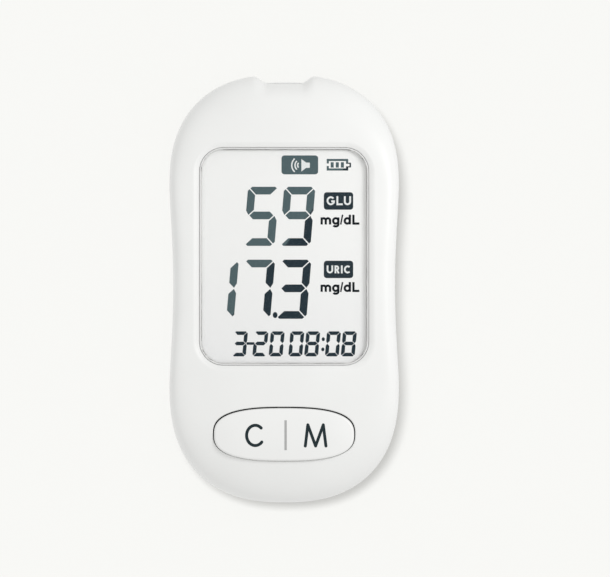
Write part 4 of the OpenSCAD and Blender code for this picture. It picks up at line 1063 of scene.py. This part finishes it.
def window_lens():
    """The clear lens: a plate with a small chamfer round both faces, and a milky rim."""
    edge = 0.22
    z0, z1 = LENS_LOW[2], LENS_TOP
    profile = [(edge, z0), (0, z0 + edge), (0, z1 - edge), (edge, z1)]
    loops = [rounded_loop(LENS_W - 2 * d, LENS_H - 2 * d, LENS_R - d) + (0, LENS_Y) for d, _ in profile]
    lens = mesh_object("window_lens", [skin(stack(loops, [z for _, z in profile]))])
    clear = clear_finish()
    rim, nodes, shader = new_material("lens_rim", (0.97, 0.97, 0.97), 0.3, Alpha=0.75, IOR=1.49)
    grain(rim, nodes, shader, 4000.0, 0.1)
    finish_piece(lens, "case", clear, ["display_lens"], angle=20)
    lens.data.materials.append(rim)
    normals = np.zeros(len(lens.data.polygons) * 3, np.float32)
    lens.data.polygons.foreach_get("normal", normals)
    is_rim = np.abs(normals.reshape(-1, 3)[:, 2]) < 0.9
    lens.data.polygons.foreach_set("material_index", is_rim.astype(np.int32))


# ---- back ----


def door_space(g, top):
    """The door's room in the back, grown by g: its plate, and its turned-up tail as high as top."""
    far = -2 * HALF_L
    return [block((-DOOR_HALF - g, far, -1), (DOOR_HALF + g, DOOR_Y1 + g, TONGUE_Z1 + g)),
            block((-TAIL_HALF - g, far, -1.1), (TAIL_HALF + g, TAIL_Y + g, top))]


def seam_lip():
    """The lip inside the seam, left out where the door's tail and the port are."""
    tail, port, root_in, root_h = TAIL_HALF + 0.6, 6.6, 0.3, 1.6
    rings = stack([plan_loop(WALL - root_in)] * 2 + [plan_loop(WALL + BITE)] * 2,
                  [SEAM_Z - root_h, SEAM_Z, SEAM_Z, SEAM_Z + LIP_H])
    lip = mesh_object("lip", [skin(rings)])
    combine(lip, [prism(plan_loop(WALL + BITE + LIP_T), SEAM_Z - 3, SEAM_Z + 2)])
    cut_each(lip, [block((-tail, -2 * HALF_L, 0), (tail, TAIL_Y, FACE_Z)),
                   block((-port, CONNECTOR_LOW[1], 0), (port, TOP_APEX + 1, FACE_Z))])
    return lip


def span(s, a, b):
    """The two ends of a stretch from a to b at one side, s, in rising order."""
    return sorted((s * a, s * b))


def compartment_walls():
    """Roof, ends and sides of the battery compartment, the rail over each tongue, and the sill at the door's top."""
    base, over_sill, overlap, gap_under = WALL - BITE, SILL_Y + SILL_T, 0.1, 0.3
    divider_half, divider_h, divider_in = 0.7, 1.2, 0.5
    walls = [
        block((-SIDE_X, TUB_Y0, ROOF_Z), (SIDE_X, ROOM_END, ROOF_TOP)),
        block((-SIDE_X, TUB_Y0, RAIL_Z0), (SIDE_X, ROOM_Y0, ROOF_TOP)),
        block((-SIDE_X, ROOM_Y1, RAIL_Z0), (SIDE_X, ROOM_END, ROOF_TOP)),
        block((-ROOM_HALF, ROOM_Y1, WALL + gap_under), (ROOM_HALF, ROOM_END, RAIL_Z0)),
        block((-divider_half, ROOM_Y0 + divider_in, ROOF_Z - divider_h),
              (divider_half, ROOM_Y1 - divider_in, ROOF_Z)),
        block((-RAIL_X2, ROOM_END - overlap, RAIL_Z0), (RAIL_X2, over_sill, RAIL_Z0 + SILL_T)),
        block((-RAIL_X2, SILL_Y, base), (RAIL_X2, over_sill - FAINT, RAIL_Z0 + overlap)),
    ]
    for s in (-1, 1):
        wall, rail, foot = span(s, ROOM_HALF, SIDE_X), span(s, ROOM_HALF, RAIL_X2), span(s, RAIL_X1, RAIL_X2)
        walls += [
            block((foot[0], ROOM_END - overlap, base + FAINT),
                  (foot[1], SILL_Y + overlap, RAIL_Z0 + overlap + FAINT)),
            block((wall[0], TUB_Y0, RAIL_Z0), (wall[1], ROOM_END, ROOF_TOP)),
            block((rail[0], TAIL_Y + DOOR_GAP, RAIL_Z0), (rail[1], ROOM_END, RAIL_Z0 + TUB)),
            block((foot[0], TAIL_Y + DOOR_GAP, base), (foot[1], ROOM_END, RAIL_Z0 + TUB)),
        ]
    return walls


def tail_shelf():
    """The shelf at the seam behind the top of the door's tail."""
    half = TAIL_HALF + 2
    shelf = mesh_object("shelf", [prism(plan_loop(WALL + 0.6), SEAM_Z - SHELF_T, SEAM_Z)])
    combine(shelf, [block((-half, -HALF_L, 0), (half, TUB_Y0 + BITE, FACE_Z))], "INTERSECT")
    return shelf


def tail_pocket():
    """The walls beside and behind the door's tail, from the shell up to the shelf."""
    wall, overlap = DOOR_GAP + 0.8, 0.1
    half, inner = TAIL_HALF + wall, SIDE_X - 0.3
    pocket = mesh_object("pocket", [block((-half, -HALF_L, 0.1), (half, TAIL_Y + wall, SEAM_Z - FAINT))])
    combine(pocket, [core(SEAM_Z, BACK_ROLLS, BACK_POWERS, -1)], "INTERSECT")
    cut_each(pocket, door_space(DOOR_GAP, SEAM_Z - SHELF_T - FAINT))
    cut_each(pocket, [
        block((-RAIL_X1, TAIL_Y - 1, 0), (RAIL_X1, TAIL_Y + 2, RAIL_Z0)),
        block((-inner, TUB_Y0 + 0.3, 0), (inner, TAIL_Y + 2, FACE_Z)),
        block((-2 * HALF_W, -2 * HALF_L, SEAM_Z - SHELF_T - overlap), (2 * HALF_W, TUB_Y0 + overlap, FACE_Z)),
    ])
    return pocket


def rear_seats():
    """The seats of the case screws and the ring that holds the speaker, down to the shell."""
    ring_r, ring_z = SPEAKER_R + 0.8, 3.8
    seats = mesh_object("seats", posts(0, SEAM_Z, CASE_SCREWS, SEAT_R))
    add_each(seats, [turned((*SPEAKER, 0), [(ring_r, 0), (ring_r, ring_z)], 96)])
    combine(seats, [core(SEAM_Z, BACK_ROLLS, BACK_POWERS, -1)], "INTERSECT")
    return seats


def speaker_holes():
    """Nineteen countersunk holes: one in the middle, and rings of 6 and 12 round it."""
    pitch, hole_r, sink_r = 1.9, 0.55, 0.85
    places = [(0, 0)]
    for n in (1, 2):
        places += [(pitch * n * math.cos(a), pitch * n * math.sin(a)) for a in np.arange(6 * n) * math.pi / 3 / n]
    profile = [(sink_r, -1), (sink_r, 0), (hole_r, 0.3), (hole_r, WALL + 1)]
    return [turned((SPEAKER[0] + x, SPEAKER[1] + y, 0), profile, 32) for x, y in places]


def screw_wells():
    """For each case screw a well for its head, with its edge cut at 45 degrees, and a hole for its shank."""
    mouth_r, head_r, shank_r = 2.3, 2.05, 1.15
    seat_z = SCREW_FOOT + SCREW_HEAD
    profile = [(mouth_r, -1), (mouth_r, 0), (head_r, mouth_r - head_r), (head_r, seat_z)]
    profile += [(shank_r, seat_z), (shank_r, SEAM_Z + 1)]
    return [turned((x, y, 0), profile) for x, y in CASE_SCREWS]


def rear_cover():
    """The back: its shell, lip, compartment, tail and seats, cut for the door, the speaker and the screws."""
    rear = mesh_object("rear_shell", [back_shell()])
    combine_with(rear, seam_lip(), "UNION")
    cut_each(rear, door_space(DOOR_GAP, SEAM_Z + 1))
    cut_each(rear, [block((-RAIL_X1, TAIL_Y - 1, WALL), (RAIL_X1, TONGUE_Y1 + 0.1, RAIL_Z0))])
    add_each(rear, compartment_walls())
    for inside in (tail_shelf(), tail_pocket(), rear_seats()):
        combine_with(rear, inside, "UNION")
    cut_each(rear, [turned((*SPEAKER, 0), [(SPEAKER_R, WALL), (SPEAKER_R, SEAM_Z - 1)], 96)])
    combine(rear, screw_wells())
    combine(rear, speaker_holes())
    lead_half = 1.1
    combine(rear, [block((s * CELL_X - lead_half, ROOM_Y1 - 0.5, ROOF_Z - 1),
                         (s * CELL_X + lead_half, ROOM_Y1 + 0.1, ROOF_TOP + 1)) for s in (-1, 1)])
    finish_piece(rear, "case", SHELL, ["rear_cover"])


def grip_lines():
    """Six grooves across the door, each a slot with soft edges and a round floor."""
    first, pitch, length, width, corner = 6, 1.7, 10.8, 0.8, 0.39
    # Each step's outset from the groove's outline, and its height above the table
    steps = [(0.35, -1), (0.35, 0.0), (0.12, 0.1), (0.0, 0.2), (-0.08, 0.34), (-0.25, 0.43), (-0.37, 0.45)]
    grips = []
    for i in range(6):
        y = DOOR_Y1 - first - pitch * i
        loops = [rounded_loop(length + 2 * d, width + 2 * d, corner + d, 12) + (0, y) for d, _ in steps]
        grips.append(skin(stack(loops, [z for _, z in steps])))
    return grips


def battery_door():
    """The door: its part of the back's shell, a tongue along each side, the latch ridge and the grip."""
    door = mesh_object("door_shell", [back_shell()])
    plate_space, tail_space = door_space(0, SEAM_Z - DOOR_GAP)
    space = mesh_object("space", [plate_space])
    add_each(space, [tail_space])
    combine_with(door, space, "INTERSECT")
    for s in (-1, 1):
        tongue, web = span(s, TONGUE_X0, TONGUE_X1), span(s, TONGUE_X0, DOOR_HALF)
        add_each(door, [
            block((tongue[0], TONGUE_Y0, TONGUE_Z0), (tongue[1], TONGUE_Y1, TONGUE_Z1)),
            block((web[0], TONGUE_Y0 + FAINT, WALL - BITE), (web[1], TONGUE_Y1 - FAINT, TONGUE_Z1 - FAINT)),
        ])
    latch_half, latch_y, latch_w, latch_gap = 4, ROOM_Y0 + 0.5, 0.6, 0.06
    add_each(door, [block((-latch_half, latch_y, WALL - BITE),
                          (latch_half, latch_y + latch_w, RAIL_Z0 - latch_gap))])
    combine(door, grip_lines())
    finish_piece(door, "door", SHELL, ["battery_door"])


def contact_coils():
    """The two coil contacts: a wire wound on a cone, which narrows from foot to tip over its length."""
    turns, wire, foot_r, tip_r, axis_z = 3.25, 0.25, 3.15, 1.9, 6.95
    t = np.linspace(0, 1, 200)
    a = 2 * math.pi * turns * t
    r = mix(foot_r, tip_r, t)
    for name, turn in (("bridge_coil", 1), ("negative_coil", -1)):
        low, high = node_box(name)
        run = mix(wire, high[1] - low[1] - wire, t)
        y = low[1] + run if turn > 0 else high[1] - run
        path = np.stack([turn * (r * np.cos(a) - CELL_X), y, axis_z + r * np.sin(a)], 1)
        coil = mesh_object(name + "_wire", [tube(path, wire, 12)])
        finish_piece(coil, "case", CONTACT_STEEL, [name])


# ---- finishes of the inner pieces ----

CONTACT_STEEL = metal("contact_steel", (0.66, 0.67, 0.68), 0.28)
INNER = {
    "lens_adhesive": moulded("lens_tape", (0.78, 0.78, 0.77), 0.7),
    "display_foam": moulded("foam_pale", (0.6, 0.6, 0.59), 0.95, drift=0.85, bump=0.8, scale=4000.0),
    "lcd_glass": display_finish(),
    "light_guide": moulded("guide_milky", (0.88, 0.9, 0.92), 0.2),
    "backlight_leds": moulded("led_resin", (0.9, 0.82, 0.4), 0.25),
    "lcd_holder": moulded("holder_white", (0.82, 0.82, 0.8), 0.5),
    "contact_strips": moulded("zebra_rubber", (0.72, 0.33, 0.3), 0.6, drift=0.7),
    "keypad": moulded("keypad_silicone", (0.5, 0.53, 0.56), 0.75, bump=0.3),
    "circuit_board": moulded("solder_mask", (0.02, 0.13, 0.055), 0.3, drift=0.8),
    "board_chips": moulded("chip_black", (0.014, 0.014, 0.016), 0.55, bump=0.4),
    "board_parts": moulded("ceramic_parts", (0.42, 0.3, 0.17), 0.4, drift=0.75),
    "strip_connector": moulded("connector_black", (0.02, 0.021, 0.023), 0.5, bump=0.3),
    "strip_contacts": metal("contact_gold", (0.83, 0.62, 0.27), 0.25),
    "battery_left": cell_finish("battery_left", True),
    "battery_right": cell_finish("battery_right", False),
    "bridge_plate": CONTACT_STEEL,
    "positive_plate": CONTACT_STEEL,
    "negative_plate": CONTACT_STEEL,
    "speaker_basket": metal("basket_steel", (0.38, 0.39, 0.41), 0.45),
    "speaker_cone": moulded("cone_film", (0.03, 0.031, 0.034), 0.35, drift=0.8),
    "speaker_magnet": metal("magnet_nickel", (0.45, 0.45, 0.46), 0.35),
    "speaker_felt": moulded("felt_black", (0.025, 0.025, 0.027), 0.98, drift=0.5, bump=1.0, scale=5000.0),
    "speaker_leads": moulded("lead_red", (0.45, 0.02, 0.015), 0.45),
    "case_screws": metal("screw_zinc", (0.6, 0.61, 0.62), 0.32),
    "board_screws": metal("screw_zinc_small", (0.6, 0.61, 0.62), 0.32),
}


def dress_inner_pieces():
    """Gives every CAD node that keeps its own shape, or lies hidden under a new piece, its finish."""
    for name, material in INNER.items():
        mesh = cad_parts[name].data
        mesh.materials.clear()
        mesh.materials.append(material)


# ---- scene ----

PHOTO_WIDTH_PX = 610
PX_PER_MM = 4.532
CAMERA_HEIGHT = 2000.0
AIM_Z = 12.0
CAMERA_X, CAMERA_Y = 4.6, 0.2
SENSOR = 36
# The backdrop's colour, the light from all round, the floor's lit share and the two lamps
PALE = (0.947, 0.947, 0.93)
WORLD_LEVEL = 0.77
FLOOR_LIT = 0.155
FLOOR_MATT = 0.88
FLOOR_LAMP = 2.2
FLOOR_LAMP_SPREAD = 11
FLOOR_AIM = (-0.09, 0.12, 1.0)
FLOOR_HALF = 6.0
FLOOR_DROP = 2e-5
SIDE_AIM = (0.53, 0.22, 0.8)
SIDE_SHARE = 0.215
SIDE_DISTANCE, SIDE_SIZE = 0.25, 0.08


def lamp_object(lamp, at, floor, on_floor):
    """A lamp at a point, aimed at the middle of the case, that lights only the floor or only the object."""
    obj = bpy.data.objects.new(lamp.name, lamp)
    obj.location = at
    obj.rotation_mode = "QUATERNION"
    obj.rotation_quaternion = Vector(at).to_track_quat("Z", "Y")
    bpy.context.collection.objects.link(obj)
    lit = bpy.data.collections.new("lit_by_" + lamp.name)
    lit.objects.link(floor)
    lit.collection_objects[0].light_linking.link_state = "INCLUDE" if on_floor else "EXCLUDE"
    obj.light_linking.receiver_collection = lit


def floor_lamp(floor):
    """A small sun for the shadow on the floor."""
    sun = bpy.data.lights.new("floor_lamp", "SUN")
    sun.energy = FLOOR_LAMP * math.pi
    sun.angle = math.radians(FLOOR_LAMP_SPREAD)
    lamp_object(sun, FLOOR_AIM, floor, True)


def side_lamp(floor):
    """A round soft lamp, by the share of the light that it gives the face."""
    aim = np.array(SIDE_AIM) / np.linalg.norm(SIDE_AIM)
    lamp = bpy.data.lights.new("side_lamp", "AREA")
    lamp.shape = "DISK"
    lamp.size = SIDE_SIZE
    lamp.energy = SIDE_SHARE * math.pi**2 * SIDE_DISTANCE**2 / aim[2]
    lamp_object(lamp, aim * SIDE_DISTANCE, floor, False)


def floor_finish():
    """Pale to the camera, with the shadow as its lit part, and a plain matt surface to the rest."""
    material = bpy.data.materials.new("floor_pale")
    material.use_nodes = True
    nodes, links = material.node_tree.nodes, material.node_tree.links
    nodes.clear()
    lit = nodes.new("ShaderNodeBsdfDiffuse")
    lit.inputs["Color"].default_value = (FLOOR_LIT, FLOOR_LIT, FLOOR_LIT * 0.99, 1)
    glow = nodes.new("ShaderNodeEmission")
    light = WORLD_LEVEL + FLOOR_LAMP
    glow.inputs["Color"].default_value = (*[c - FLOOR_LIT * light for c in PALE], 1)
    both = nodes.new("ShaderNodeAddShader")
    matt = nodes.new("ShaderNodeBsdfDiffuse")
    matt.inputs["Color"].default_value = (*[FLOOR_MATT / light] * 3, 1)
    pick = nodes.new("ShaderNodeMixShader")
    path = nodes.new("ShaderNodeLightPath")
    seen = nodes.new("ShaderNodeMath")
    seen.operation = "MAXIMUM"
    out = nodes.new("ShaderNodeOutputMaterial")
    links.new(lit.outputs[0], both.inputs[0])
    links.new(glow.outputs[0], both.inputs[1])
    links.new(path.outputs["Is Camera Ray"], seen.inputs[0])
    links.new(path.outputs["Is Glossy Ray"], seen.inputs[1])
    links.new(seen.outputs["Value"], pick.inputs["Fac"])
    links.new(matt.outputs[0], pick.inputs[1])
    links.new(both.outputs[0], pick.inputs[2])
    links.new(pick.outputs[0], out.inputs["Surface"])
    return material


def pale_floor():
    """A flat floor, a hair under the case."""
    corners = [(-1, -1), (1, -1), (1, 1), (-1, 1)]
    mesh = bpy.data.meshes.new("floor")
    mesh.from_pydata([(x * FLOOR_HALF, y * FLOOR_HALF, -FLOOR_DROP) for x, y in corners], [], [(0, 1, 2, 3)])
    mesh.materials.append(floor_finish())
    floor = bpy.data.objects.new("floor", mesh)
    bpy.context.collection.objects.link(floor)
    return floor


def pale_world():
    """White light from all round, and a pale backdrop for what the camera and the gloss see of it."""
    world = bpy.data.worlds.new("studio")
    bpy.context.scene.world = world
    world.use_nodes = True
    nodes, links = world.node_tree.nodes, world.node_tree.links
    background = nodes["Background"]
    background.inputs["Color"].default_value = (1, 1, 0.985, 1)
    path = nodes.new("ShaderNodeLightPath")
    level = nodes.new("ShaderNodeMapRange")
    level.inputs["To Min"].default_value = WORLD_LEVEL
    level.inputs["To Max"].default_value = PALE[0]
    seen = path.outputs["Is Camera Ray"]
    for ray in ("Is Glossy Ray", "Is Transmission Ray"):
        either = nodes.new("ShaderNodeMath")
        either.operation = "MAXIMUM"
        links.new(seen, either.inputs[0])
        links.new(path.outputs[ray], either.inputs[1])
        seen = either.outputs["Value"]
    links.new(seen, level.inputs["Value"])
    links.new(level.outputs["Result"], background.inputs["Strength"])


def camera_above():
    """The camera, straight over the meter and far off, so that a millimetre at AIM_Z is PX_PER_MM wide."""
    camera = bpy.data.cameras.new("camera")
    view = bpy.data.objects.new("camera", camera)
    bpy.context.collection.objects.link(view)
    camera.sensor_width = SENSOR
    camera.lens = SENSOR * (CAMERA_HEIGHT - AIM_Z) / (PHOTO_WIDTH_PX / PX_PER_MM)
    camera.clip_start, camera.clip_end = 0.1, 10
    view.location = (CAMERA_X * MM, CAMERA_Y * MM, CAMERA_HEIGHT * MM)
    bpy.context.scene.camera = view


front_cover()
rocker_key()
key_marks()
rubber_keypad()
display_numbers()
display_signs()
window_lens()
rear_cover()
battery_door()
contact_coils()
dress_inner_pieces()

floor = pale_floor()
pale_world()
floor_lamp(floor)
side_lamp(floor)
camera_above()

bpy.context.scene.view_settings.view_transform = "Standard"
